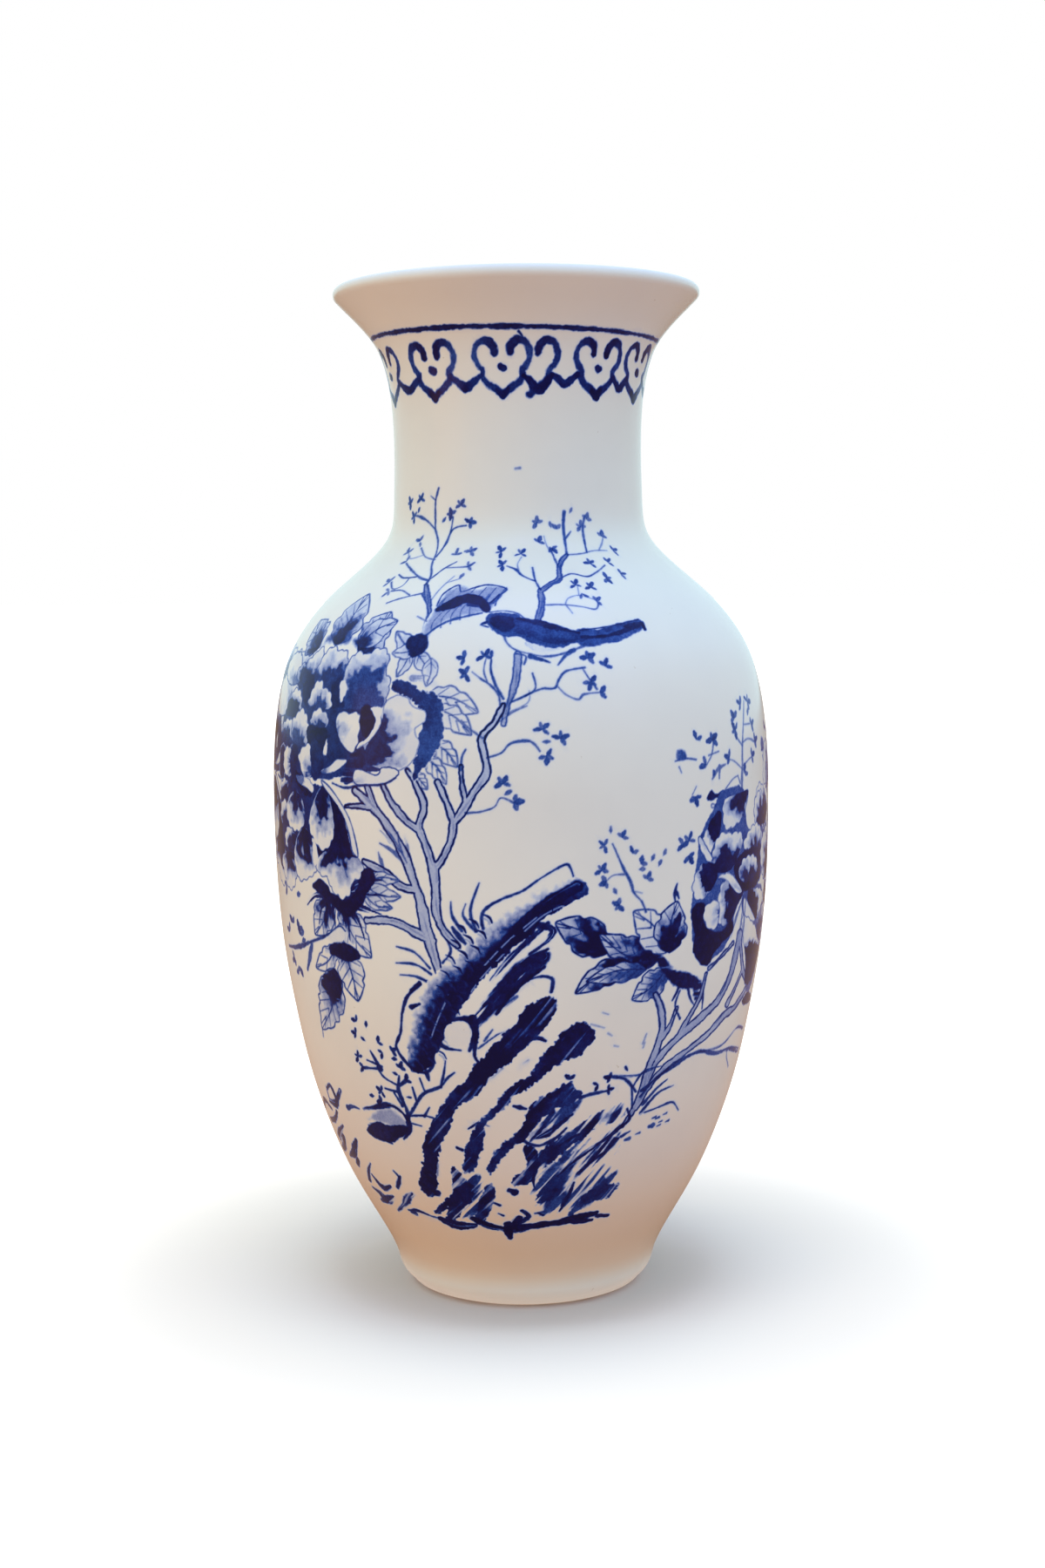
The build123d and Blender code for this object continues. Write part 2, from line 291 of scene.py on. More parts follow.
def stroke(points, width, tone=0.85, dry=0.0, edge=0.3, halo=0.04, closed=False):
    """One brush stroke. Width in mm and tone may each be one value or several along its length.

    Dry opens gaps between the bristles, edge is the softness of its sides in mm, and halo is the
    strength of the faint bleed around it."""
    path = curve(points, closed)
    reach = float(np.max(width)) / 2 + STROKE_MARGIN
    window = Window(path, reach)
    distance, share, side, length = near(window, path, reach)
    half = spread_out(width, share) / 2
    room = np.minimum(1.0, half)
    depth = half - distance + wander(window, 0.5, 0.45) * room
    mask = smoothstep(-edge, edge, depth)
    strength = mottled(window, spread_out(tone, share), 5.0)
    if dry:
        bristle = grain.at(share * length / BRISTLE_LENGTH, side * distance / BRISTLE_WIDTH + path[0, 1])
        gaps = dry * (0.55 + 0.9 * distance / np.maximum(half, 0.1)) * (0.6 + 0.7 * share)
        mask = mask * smoothstep(gaps - 0.22, gaps + 0.16, bristle)
    strength = np.clip(strength * mask, 0, 1)
    bleed = halo * smoothstep(-1.0, 0.3, half - distance)
    window.lay(np.maximum(strength, bleed * (half > 0.15)))


def wash(
    outline, tone, edge=0.6, soft=0.0, dry=0.0, lean=(1.0, 0.0), cover=False, rough=0.0, fade=None
):
    """A filled shape. Soft fades the wash in from its edge, or from the fade line if there is one.

    Dry leaves gaps along lean, and rough breaks the edge into crumbs over that many mm."""
    path = curve(outline, closed=True, steps=OUTLINE_STEPS)
    reach = max(soft, 1.5) + 1.5
    window = Window(path, 2.0)
    distance = near(window, path, reach)[0]
    within = inside(window, path)
    depth = np.where(within, distance, -distance) + wander(window, 1.0, 0.5)
    if rough:
        crumbs = grain.at(window.x / 0.5, window.y / 0.5) + cloud.at(window.x / 1.1, window.y / 1.1)
        depth = depth + rough * (crumbs - 1.0)
    mask = smoothstep(-edge / 2, edge / 2, depth)
    strength = mottled(window, tone)
    if rough:
        strength = strength * (0.66 + 0.48 * cloud.at(window.x / 2.4 + 30, window.y / 2.4))
    if soft:
        reached = depth if fade is None else near(window, curve(fade), soft + 2)[0]
        streaks = 0.35 * soft * (grain.at(window.x / 0.8, window.y / 0.8) - 0.5)
        strength = strength * smoothstep(0, soft, reached + streaks)
    if dry:
        run = window.x * lean[0] + window.y * lean[1]
        cross = window.x * lean[1] - window.y * lean[0]
        bristle = grain.at(run / WASH_BRISTLE_LENGTH, cross / WASH_BRISTLE_WIDTH)
        gaps = dry * (1.25 - smoothstep(0, 4, depth) * 0.65)
        strength = strength * smoothstep(gaps - 0.2, gaps + 0.2, bristle)
    strength = np.clip(strength, 0, 1)
    if cover:
        window.cover(mask, strength)
    else:
        window.lay(mask * strength)


def scalloped(path, root, depth):
    """A closed path whose far side from the root is pushed in and out in round lobes."""
    scale = math.radians(float(np.interp(root[1], sheet.lengths, sheet.radii)))
    away = (path - root) * (scale, 1)
    far = np.hypot(away[:, 0], away[:, 1])
    steps = np.hypot(np.diff(path[:, 0]) * scale, np.diff(path[:, 1]))
    fine = np.linspace(0, steps.sum(), max(int(steps.sum() / 0.7), 12))
    marks = np.concatenate([[0], np.cumsum(steps)])
    path = np.column_stack([np.interp(fine, marks, path[:, i]) for i in (0, 1)])
    far = np.interp(fine, marks, far)
    lobes = max(round(steps.sum() / LOBE_PITCH), 1)
    wave = np.abs(np.sin(math.pi * lobes * fine / fine[-1])) - 0.6
    push = depth * wave * smoothstep(0.3, 0.7, far / far.max())
    away = (path - root) * (scale, 1)
    size = np.maximum(np.hypot(away[:, 0], away[:, 1]), 0.1)
    return path + away / size[:, None] * push[:, None] / (scale, 1)


def petal(outline, root, dark=0.92, reach=0.55, soft=0.3, scallop=0.9, line=0.5, pale=0.04):
    """A petal with a bare scalloped rim and a streaky wash that deepens towards its root.

    Dark is the wash's depth, reach is how far it goes from the root to the rim as a share, and
    soft is the share over which it ends. Line is the strength of the rim's outline."""
    root = np.array(sheet.place(root))
    path = curve(outline, closed=True, steps=OUTLINE_STEPS)
    if scallop:
        path = scalloped(path, root, scallop)
    window = Window(path, 1.5)
    within = inside(window, path)
    distance = near(window, path, 1.8)[0]
    depth = np.where(within, distance, -distance)
    mask = smoothstep(-0.2, 0.2, depth)
    x, y = window.across(root[0]), window.up - root[1]
    away = np.hypot(x, y)
    bearing = np.arctan2(y, x)
    scale = float(np.median(window.scale))
    rim = (path - root) * (scale, 1)
    size = np.zeros(RIM_SLICES)
    slice_of = (np.arctan2(rim[:, 1], rim[:, 0]) / (2 * math.pi) * RIM_SLICES).astype(int) % RIM_SLICES
    np.maximum.at(size, slice_of, np.hypot(rim[:, 0], rim[:, 1]))
    known = np.nonzero(size)[0]
    turn = bearing / (2 * math.pi) * RIM_SLICES
    rim_at = np.interp(turn, known + 0.5, size[known], period=RIM_SLICES)
    tip = rim.mean(axis=0)
    straight = (x * tip[0] + y * tip[1]) / (2 * tip @ tip)
    share = 0.5 * away / np.maximum(rim_at, 0.5) + 0.5 * straight
    streak = grain.at(bearing * 7 + root[0], away / 5)
    ragged = grain.at(window.x / 0.9, window.y / 0.9) - 0.5
    share = share + (streak - 0.5) * (0.14 + 0.8 * soft) + ragged * 0.22
    deep = dark * (1 - smoothstep(reach - soft / 2, reach + soft / 2, share))
    thin = 0.34 * dark * (1 - smoothstep(reach, reach + 0.3, share))
    strength = mottled(window, np.maximum(deep, thin), 6.0) + pale * streak
    window.cover(mask, np.clip(strength, 0, 1))
    if line:
        rim_line = smoothstep(-0.25, 0.25, 0.22 - np.abs(depth + wander(window, 0.2, 0.3)))
        rim_line = rim_line * line * (0.45 + 0.8 * cloud.at(window.x / 3, window.y / 3))
        window.lay(np.clip(rim_line, 0, 1))


def step_off(place, bearing, length):
    """The (angle, height) reached by going some mm from a place, along a bearing in degrees."""
    angle = place[0] + math.degrees(length * math.cos(math.radians(bearing)) / sheet.radius_at(place[1]))
    return angle, place[1] + length * math.sin(math.radians(bearing))


def bearing_to(start, end):
    """Bearing in degrees and distance in mm from one place to another."""
    radius = sheet.radius_at(0.5 * (start[1] + end[1]))
    x, y = math.radians(end[0] - start[0]) * radius, end[1] - start[1]
    return math.degrees(math.atan2(y, x)), math.hypot(x, y)


def leaf(base, tip, width, bend, body, dark=0.0, line=0.75, veins=4, teeth=5, reach=0.42):
    """A veined leaf with toothed edges. Width is in mm, and bend is a share of the leaf's length.

    Body is the depth of its blade, dark is that of a wash that goes from the base as far as reach,
    and line is the strength of its outline and veins."""
    bearing, length = bearing_to(base, tip)
    middle = step_off(step_off(base, bearing, length * 0.5), bearing + 90, bend * length)
    rib = [base, middle, tip]

    def on_leaf(along, out):
        """A place on the leaf: along is 0 at the base and 1 at the tip, out is in mm."""
        first = [base[i] + (middle[i] - base[i]) * along for i in (0, 1)]
        last = [middle[i] + (tip[i] - middle[i]) * along for i in (0, 1)]
        place = [first[i] + (last[i] - first[i]) * along for i in (0, 1)]
        return step_off(place, bearing_to(first, last)[0] + 90, out)

    def half(along):
        notch = 1 - 0.16 * ((along * teeth) % 1 < 0.3)
        return 0.5 * width * math.sin(math.pi * along**0.8) ** 0.8 * notch

    shares = [0.06 + 0.88 * k / (2 * teeth + 1) for k in range(2 * teeth + 2)]
    left = [on_leaf(share, half(share)) for share in shares]
    right = [on_leaf(share, -half(share)) for share in reversed(shares)]
    outline = [base, *left, tip, *right]
    petal(outline, base, max(dark, body), reach if dark else 0.6, 0.4, 0, 0, body * 0.6)
    stroke(outline, (0.45, 0.6, 0.5), line, closed=True, halo=0.02)
    stroke(rib, (0.75, 0.45), line)
    for k in range(veins):
        share = 0.15 + 0.6 * k / max(veins - 1, 1)
        for hand in (1, -1):
            end = on_leaf(min(share + 0.2, 0.95), hand * half(min(share + 0.2, 0.95)) * 0.85)
            stroke([on_leaf(share, 0), end], (0.5, 0.3), line * 0.9, halo=0)


SPRIG_FANS = {1: (0,), 2: (-40, 45), 3: (-70, 5, 75), 4: (-100, -30, 35, 110)}  # degrees
SPRIG_REACHES = (1.0, 1.15, 0.9, 1.1)


def sprig(place, bearing, size, tone, dabs):
    """One to four short round-ended dabs that fan out of one point."""
    for count, turn in enumerate(SPRIG_FANS[dabs]):
        reach = size * SPRIG_REACHES[count]
        middle = step_off(place, bearing + turn, 0.45 * reach)
        end = step_off(place, bearing + turn * 1.04, 0.8 * reach)
        widths = (0.35, 0.5 * reach, 0.62 * reach, 0.42 * reach)
        stroke([place, middle, end], widths, tone + 0.08 * (count % 2), edge=0.25)


def sprigs(marks, size, tone):
    """Several sprigs of one size and tone, each given as (angle, height, bearing, dabs)."""
    for angle, height, bearing, dabs in marks:
        sprig((angle, height), bearing, size, tone, dabs)


def leaves(shapes, **how):
    """Several leaves painted in one way, each given as (base, tip, width, bend)."""
    for base, tip, width, bend in shapes:
        leaf(base, tip, width, bend, **how)


def strokes(lines, tone, **how):
    """Several strokes in one tone, each given as (points, width)."""
    for points, width in lines:
        stroke(points, width, tone, **how)


def branches(paths, fill=0.3, line=0.6, line_width=0.5):
    """Branches drawn as outlines with a pale fill; where they fork, they run into one another.

    Each path is (points, width or widths in mm)."""
    curves = [(curve(points), width) for points, width in paths]
    window = Window(np.vstack([path for path, _ in curves]), 4.0)
    depth = np.full(window.shape, -FAR)
    across, along = np.zeros(window.shape), np.zeros(window.shape)
    for path, width in curves:
        reach = float(np.max(width)) / 2 + 2
        distance, share, side, length = near(window, path, reach)
        inner = spread_out(width, share) / 2 - distance
        nearer = inner > depth
        depth = np.where(nearer, inner, depth)
        across = np.where(nearer, side * distance, across)
        along = np.where(nearer, share * length, along)
    depth = depth + wander(window, 0.6, 0.3)
    body = smoothstep(-0.25, 0.25, depth)
    bark = smoothstep(0.45, 0.95, grain.at(along / BARK_LENGTH, across / BARK_WIDTH))
    bark = bark * (0.4 + 0.6 * smoothstep(-0.6, 0.9, across))
    pools = cloud.at(window.x / 3, window.y / 3)
    window.cover(body, fill * (0.4 + 0.8 * pools) + 0.5 * bark * pools)
    thickness = line_width * (0.7 + 0.6 * cloud.at(window.x / 4 + 50, window.y / 4))
    rim = smoothstep(-0.28, 0.28, thickness / 2 - np.abs(depth))
    rim = rim * line * (0.7 + 0.45 * cloud.at(window.x / 4, window.y / 4))
    window.lay(np.clip(rim, 0, 1))


# ---------------------------------------------------------------------------------------------
# The painted motifs.

NAVY, MID, LIGHT = 0.96, 0.6, 0.38  # strengths of cobalt
TREE_TOP = 270  # mm, the height above which the twigs' leaves change tone


def neck_ring():
    """The ring of dark blue under the mouth, laid on in one turn that doesn't quite meet."""
    points = [(-180 + 12 * k, 341 + math.sin(math.radians(12 * k)) * 0.9) for k in range(31)]
    stroke(
        points, (1.4, 1.9, 1.3, 2.0, 2.1, 1.5, 1.2, 1.9, 1.4),
        (0.8, 0.9, 0.85, 0.97, 0.9, 0.85, 0.75, 0.9), edge=0.4,
    )


def scroll_arm(centre, hand):
    """Half a cloud head: a hooked top that runs down to the point below the centre."""
    arm = [
        (3.4, 332.6), (3.8, 335), (6.4, 336.8), (9.8, 335.8), (11.6, 332.6), (10.8, 329.4), (8.4, 327),
        (8.6, 324.8), (6.4, 322.6), (3, 320.8), (0, 318.8),
    ]
    points = [(centre + hand * angle, height) for angle, height in arm]
    stroke(
        points, (2.6, 3.0, 2.7, 2.2, 2.0, 2.0, 2.2, 2.4, 2.8, 2.6),
        (NAVY, 0.9, 0.76, 0.72, 0.8, 0.8, NAVY), edge=0.4,
    )


def cloud_head(centre):
    scroll_arm(centre, 1)
    scroll_arm(centre, -1)
    stroke([(centre - 0.5, 328.2), (centre + 0.5, 327.8)], 2.7, 0.9)
    stroke([(centre - 2.6, 320.6), (centre, 318.4), (centre + 2.2, 320.8)], (1.6, 2.6, 1.6), NAVY)


def link(left, right, low):
    """The lesser point between two cloud heads."""
    middle = 0.5 * (left + right)
    reach = 0.5 * (right - left)
    points = [
        (left, 325.6), (middle - 0.45 * reach, 323.2), (middle, low + 0.4),
        (middle + 0.45 * reach, 323.2), (right, 325.6),
    ]
    stroke(points, (2.0, 2.4, 3.2, 2.4, 2.0), (0.8, 0.85, NAVY, 0.85, 0.8), edge=0.4)


NARROW_PLACE = -6  # angle of the cloud head beside the place where the painter ran out of room


def cloud_band():
    """Cloud heads round the neck, with half a head to close the gap where there is no room for one."""
    centres = [-73, -38.5, NARROW_PLACE, 37, 65] + [65 + 31.7 * k for k in range(1, 7)]
    for centre in centres:
        cloud_head(centre)
    for left, right in zip(centres, centres[1:] + [centres[0] + 360]):
        if left != NARROW_PLACE:
            link(left + 9, right - 9, 321 + (left % 3) * 0.4)
    scroll_arm(5.5, 1)
    stroke([(3, 325), (6, 323), (9, 320.4), (12.5, 322.5), (15, 325.5)], (1.8, 2.6, 3.4, 2.6, 1.8), NAVY)
    stroke([(15, 325.5), (18, 324), (21, 322.4), (24, 324), (27, 326)], (1.8, 2.4, 2.8, 2.4, 1.8), 0.86)
    stroke([(1, 339.4), (2.4, 337.8)], (1.0, 0.5), 0.9)
    stroke([(-1, 294), (1, 294.2)], (0.6, 0.8), 0.4, halo=0.05)


def twig(points, width=(1.1, 0.6), tone=0.6):
    stroke(points, np.multiply(width, 0.8), tone, edge=0.3)


def left_tree():
    """The leafless twigs over the left peony, with small three-fingered leaves."""
    twig([(-23.5, 237), (-24, 243), (-24.5, 248)], (2.2, 1.6), MID)
    branches([
        ([(-24, 246), (-26, 250), (-29.5, 255)], (1.4, 2.2, 1.4)), ([(-25, 248), (-28.5, 252)], 1.2),
    ], fill=0.35, line=0.66)
    twig([
        (-29.5, 255), (-29.5, 258), (-32, 262), (-33, 266), (-35, 270), (-38.5, 274),
    ], (1.5, 1, 0.8, 1), MID)
    twig([(-38.5, 274), (-39.5, 279), (-39.5, 284), (-37.8, 288)], (0.9, 1.3, 1.2, 1), MID)
    twig([(-39.5, 284), (-42.5, 285.5)], (0.8, 0.5), MID)
    twig([(-38.5, 274), (-43, 276.5), (-48, 278.3), (-53, 279)], (0.8, 0.8, 1.6, 0.8), MID)
    twig([(-32, 264.5), (-30.5, 269), (-29.8, 273), (-27, 274.6), (-23, 275)], (1, 1.1, 0.9, 0.7), MID)
    twig([(-30, 273), (-29.8, 278)], 0.8, MID)
    twig([(-32, 263.5), (-37, 264.5), (-42, 267.6)], (1, 0.8, 1.2), LIGHT + 0.15)
    twig([(-39, 265), (-44, 264), (-47.5, 266)], (0.8, 0.6, 0.9), LIGHT)
    twig([(-29.5, 256.5), (-33, 257.3), (-38, 259.5), (-44.5, 262.5)], (1.6, 1.1, 1.4, 0.8), MID)
    twig([(-35, 257.7), (-40, 257.4), (-43.5, 258.6)], (1, 1.1, 0.7), 0.7)
    twig([(-37.5, 257.5), (-38, 254.8), (-41, 253.7), (-44, 256)], (0.7, 0.6, 0.9), MID)
    twig([(-29.5, 252), (-33, 251.2), (-36.5, 250.2), (-39.5, 249)], (1, 0.8, 1.1), MID)
    twig([(-33, 251.6), (-37, 253.2), (-41, 253)], (0.8, 0.7, 0.8), MID)
    twig([(-29, 257), (-26, 260.4), (-22.5, 262.6)], (1.2, 0.8, 0.6), MID)
    twig([(-25.5, 260.6), (-20, 260.8), (-17, 261)], (0.6, 0.7, 1.4), LIGHT + 0.1)
    twig([(-25, 250), (-23.6, 254), (-21, 257.8)], (0.9, 0.6, 0.5), LIGHT)
    twig([(-22.6, 255.6), (-18.5, 257)], (0.6, 0.5), LIGHT)
    marks = [
        (-57, 283.5, 150, 4), (-49, 284.5, 90, 4), (-53.5, 278.5, 160, 4), (-51, 280, 60, 1),
        (-45, 270, 120, 2), (-43, 268, 130, 1), (-48, 266, 120, 3), (-45, 263, 150, 2),
        (-45, 256, 150, 3), (-42, 253, -130, 3), (-26, 282, 90, 4), (-30.5, 279, 140, 4),
        (-33.5, 278, -130, 1), (-21.5, 276, 30, 4), (-24, 265, 90, 3), (-18.5, 266, 60, 4),
        (-17.5, 261, 30, 3), (-19, 257, 60, 1),
    ]
    for angle, height, bearing, dabs in marks:
        sprig((angle, height), bearing, 2.2, 0.58 if height > TREE_TOP else 0.48, dabs)


def right_tree():
    """The twigs that stand behind the bird."""
    branches([
        ([(4.5, 243), (6, 248), (6.2, 253)], (1.6, 2.2, 1.8)),
        ([
            (6.2, 252.5), (9, 254.6), (12.5, 256.4), (13.5, 260), (15.5, 262.8), (18, 264.6),
        ], (2, 1.4, 1.8, 1.6, 1.2)),
    ], fill=0.4, line=0.62)
    twig([(6.2, 253), (5, 256.2), (4.6, 260.4)], (1.4, 1, 0.9), MID)
    twig([(5, 255.8), (1, 257.8), (-1, 259.8), (-4, 261)], (1.1, 0.8, 1.4, 0.6), MID)
    twig([(0, 259.4), (-0.4, 261.6), (1, 264)], (0.7, 0.5, 0.8), LIGHT)
    twig([(13.5, 260.5), (12.8, 264), (12.2, 267)], (1.1, 0.9), LIGHT + 0.15)
    twig([(12.6, 264.6), (11, 268), (10.5, 271)], (0.7, 0.4), LIGHT - 0.05)
    twig([(18, 264.6), (19, 269.5), (19.5, 274.5), (20.5, 279.4)], (1.2, 1, 1.4), MID)
    twig([(19.2, 270), (22.5, 272.6)], (0.8, 0.6), MID)
    twig([(18, 264.6), (24, 265), (30, 266), (36, 266)], (1, 0.7, 0.9, 0.5), LIGHT + 0.1)
    twig([(26.5, 265.4), (27.6, 269.5), (28.6, 274), (30.5, 278)], (1, 1.2, 1), MID)
    twig([(32, 266), (36, 269), (38.5, 272)], (0.8, 0.6), LIGHT)
    twig([(12.5, 256.4), (17, 258.2), (22, 257.2), (26, 258.6), (31, 261)], (1, 0.7, 1, 0.7), MID)
    twig([(7, 248), (12, 248), (17, 247.2), (20.5, 246.4), (22, 248.6)], (1, 0.8, 0.6, 1), LIGHT + 0.12)
    twig([(12.4, 248), (13.6, 250), (17, 251), (21, 249.6)], (0.8, 0.6, 0.5), LIGHT)
    twig([(12.6, 247.8), (13.8, 245.2)], (0.9, 0.5), LIGHT)
    twig([(17, 251), (17.6, 254.4)], 0.6, LIGHT)
    marks = [
        (-6.5, 265.8, 150, 4), (-5.5, 261.3, 160, 4), (0.8, 265, 80, 4), (8, 275.6, 120, 4),
        (8, 269, 60, 3), (13, 267, -60, 3), (14, 274, 100, 1), (16.5, 273.5, 90, 2),
        (27.6, 274.2, 110, 4), (31, 277, 60, 3), (23, 279, 60, 1), (37, 271, 60, 3), (39, 266, 10, 3),
        (25.5, 261.6, 60, 4), (28.5, 256.6, -30, 4), (33, 262, 30, 3), (17, 254.4, 90, 4),
        (21.5, 253.6, 80, 4), (18, 251.6, -80, 2), (21.5, 249, 30, 3), (35, 258, 0, 3),
    ]
    for angle, height, bearing, dabs in marks:
        sprig((angle, height), bearing, 2.1, 0.48 if height > TREE_TOP else 0.55, dabs)


def bird():
    """A small bird in profile, its back dark and its belly bare, with a long tail."""
    wash([
        (-8.6, 243.5), (-7.4, 245.2), (-4, 245.8), (-0.6, 245), (0.8, 243.6), (5, 242.6), (9.5, 241),
        (14, 239), (16, 236.6), (12, 235), (7.5, 234), (3.6, 235.2), (0.4, 237.8), (-3.4, 238),
        (-6.4, 239.4),
    ], 0.66, edge=0.6)
    wash([
        (-8.2, 243.4), (-6.6, 245), (-3.6, 245.2), (-0.8, 244), (-1.2, 240.4), (-4, 238.8), (-6.6, 240.4),
    ], 0.84, soft=1)
    stroke([(-0.6, 243.6), (5, 242.2), (10, 240.2), (14.5, 238.8)], (1.2, 2.4, 2, 1), 0.82, dry=0.1)
    stroke([(-1, 240), (3, 238), (8, 236.4), (13.6, 236.4)], (3, 3.6, 2.6, 1.2), 0.68, dry=0.25)
    stroke([(14.8, 238.6), (20, 239), (26, 240.8), (31.5, 242.2)], (2.4, 2.2, 2.6, 1.8), 0.6, dry=0.2)
    stroke([(14.6, 236), (20, 236), (26, 237.8), (31.5, 240)], (2.2, 1.9, 2.2, 1.4), 0.62, dry=0.25)
    wash([
        (13.4, 239.6), (20, 240), (26, 241.8), (31.6, 243), (32.6, 240.2), (26, 237), (20, 235),
        (14, 235),
    ], 0.62)
    stroke([(15, 237.4), (22, 237.8), (31, 241)], (1.4, 1.4, 2.0), 0.84)
    stroke([(27, 240.6), (31.8, 241.4), (32.4, 239.6)], (1.4, 2.2, 1.4), 0.84)
    stroke([(14.8, 239.6), (22, 240.6), (31.6, 242.8)], (0.5, 0.6), 0.8)
    stroke([(-8, 242.6), (-9.4, 241.8), (-7.6, 241)], (1.4, 0.9, 0.5), 0.7)
    stroke([(-7.6, 245.8), (-4, 246.2), (-0.6, 245.4), (1.4, 243.6)], 0.5, 0.6)
    stroke([
        (-3.6, 238), (-3, 236), (-1.2, 233.8), (2.5, 232.2), (6.6, 231.4), (11, 232.6), (15, 234.6),
    ], (1, 0.6, 0.6, 0.9, 0.7, 1), 0.55)
    stroke([(2, 235.6), (4.6, 233.6), (9, 234)], (1.4, 1.8, 1), 0.35, dry=0.3)
    stroke([(2.4, 231.4), (4.6, 230.6), (6.8, 229.4)], (2, 1.5, 0.5), 0.66)
    stroke([(12.6, 233.4), (10.4, 231.4), (8.6, 228.6)], (2, 1.2, 0.5), 0.6)
    stroke([(-4.4, 242.6), (-3.8, 242.4)], 0.7, 0.5)


def perch():
    """The twigs that the bird stands on."""
    branches([
        ([(-3.6, 210), (-2.8, 215), (-1.6, 220), (-0.8, 226), (-0.4, 232)], (1.4, 1.6, 2.0, 2.4, 2.6)),
    ], fill=0.26, line=0.56)
    twig([(-1, 232.4), (1.4, 231.6), (1, 229)], (1, 0.8), MID)
    twig([(-4.2, 214), (-4.6, 219), (-6.5, 222.4), (-8.6, 224.4)], (1, 1.3, 0.8), MID)
    twig([(-3.6, 218), (-5.2, 222), (-6.4, 227), (-6.4, 230.6)], (1.4, 1.2, 0.8), 0.66)
    twig([(-8.6, 224.4), (-10.6, 226.6)], (0.8, 0.6), LIGHT + 0.1)
    twig([(-7, 223), (-8, 227), (-7.6, 231)], (0.8, 0.6), LIGHT + 0.15)
    twig([(-1.8, 217), (1.4, 219), (3.4, 221.4), (2.8, 226)], (1, 1.2, 0.8), 0.66)
    twig([
        (0.4, 218.4), (4.6, 221), (7.6, 221.2), (8.6, 224), (10.4, 226.6), (14.6, 227.6),
    ], (1, 1.3, 1.2, 1, 1.2), MID)
    twig([(14, 227.6), (15.4, 224), (17, 220.6)], (0.9, 0.7, 1.1), MID)
    twig([
        (8.4, 221.4), (10, 219), (12.6, 217.4), (14, 219), (18.4, 219.6),
    ], (0.8, 0.6, 1.2, 0.8, 0.6), LIGHT + 0.15)
    twig([(2, 220.4), (1.6, 216.6), (-3, 213)], (0.5, 0.7, 1), LIGHT)
    marks = [
        (-12.6, 231, 170, 3), (-8, 231.6, 90, 4), (-12, 226, 180, 4), (15.6, 230.6, 60, 4),
        (19.4, 228, 60, 3), (15.6, 223, -70, 4), (17.6, 219.4, 0, 2), (-6.4, 231, 90, 1),
    ]
    sprigs(marks, 2.6, 0.6)


def top_leaf_and_bud():
    """The big turned leaf under the left twigs, and the closed bud beside it."""
    wash([
        (-23.5, 236.6), (-20.6, 240.6), (-17, 243.4), (-9.6, 245.4), (-6, 248.6), (-3.4, 253.6),
        (-8.4, 254.8), (-13, 253.6), (-18, 254.8), (-22, 252), (-23.4, 247), (-24.4, 242),
    ], 0.3, soft=1.6, cover=True)
    for share in range(6):
        start = (-22 + 3 * share, 247.6 + 0.3 * share)
        stroke([start, (start[0] + 1.6, 251), (start[0] + 3.4, 253.8)], (1.8, 1.6, 0.6), 0.5, dry=0.3)
    stroke([
        (-22, 246.8), (-19, 248.4), (-14.6, 250.4), (-10.6, 249.4), (-8.6, 246.8),
    ], (2.4, 4.6, 4.8, 4.4, 2.8), 0.9, edge=0.5)
    stroke([(-13.6, 248.4), (-8.6, 248), (-5.6, 251.6)], (2, 1.8, 0.8), 0.7, dry=0.2)
    stroke([
        (-22.6, 248), (-22, 252), (-18.4, 254.8), (-16.8, 252.6), (-13.4, 253.8), (-9, 254.8),
        (-3.6, 253.4), (-5.6, 251), (-6.4, 248),
    ], (0.6, 0.7, 0.6), 0.66)
    stroke([(-23.4, 238), (-18.6, 242.8), (-9.6, 245.6)], (0.7, 1.3, 0.7), 0.6)
    for share in range(5):
        start = (-22 + 2.3 * share, 239.6 + 1.3 * share)
        stroke([start, (start[0] - 0.2, start[1] + 3), (start[0] + 1.4, start[1] + 6)], (0.6, 0.5), 0.5)
    leaves([
        ((-25, 233), (-31.6, 239.6), 6.0, 0.05), ((-26, 233), (-28.6, 225), 5.0, 0.05),
        ((-24.4, 232.6), (-20.6, 226), 5.6, 0.05), ((-24.6, 234), (-31, 232.6), 5.0, 0.05),
    ], body=0.12, line=0.55, veins=2, teeth=3)
    leaf((-20.6, 231), (-21, 222), 5.5, 0.1, body=0.1, line=0.5, veins=2, teeth=3)
    wash([
        (-27.6, 235), (-27, 238), (-24.8, 239.2), (-22.8, 237.6), (-22.2, 234.6), (-23.6, 232),
        (-26, 231.4),
    ], 0.9, edge=0.8, cover=True)
    twig([(-24, 243), (-27.2, 244.6)], (0.8, 0.4), LIGHT + 0.1)


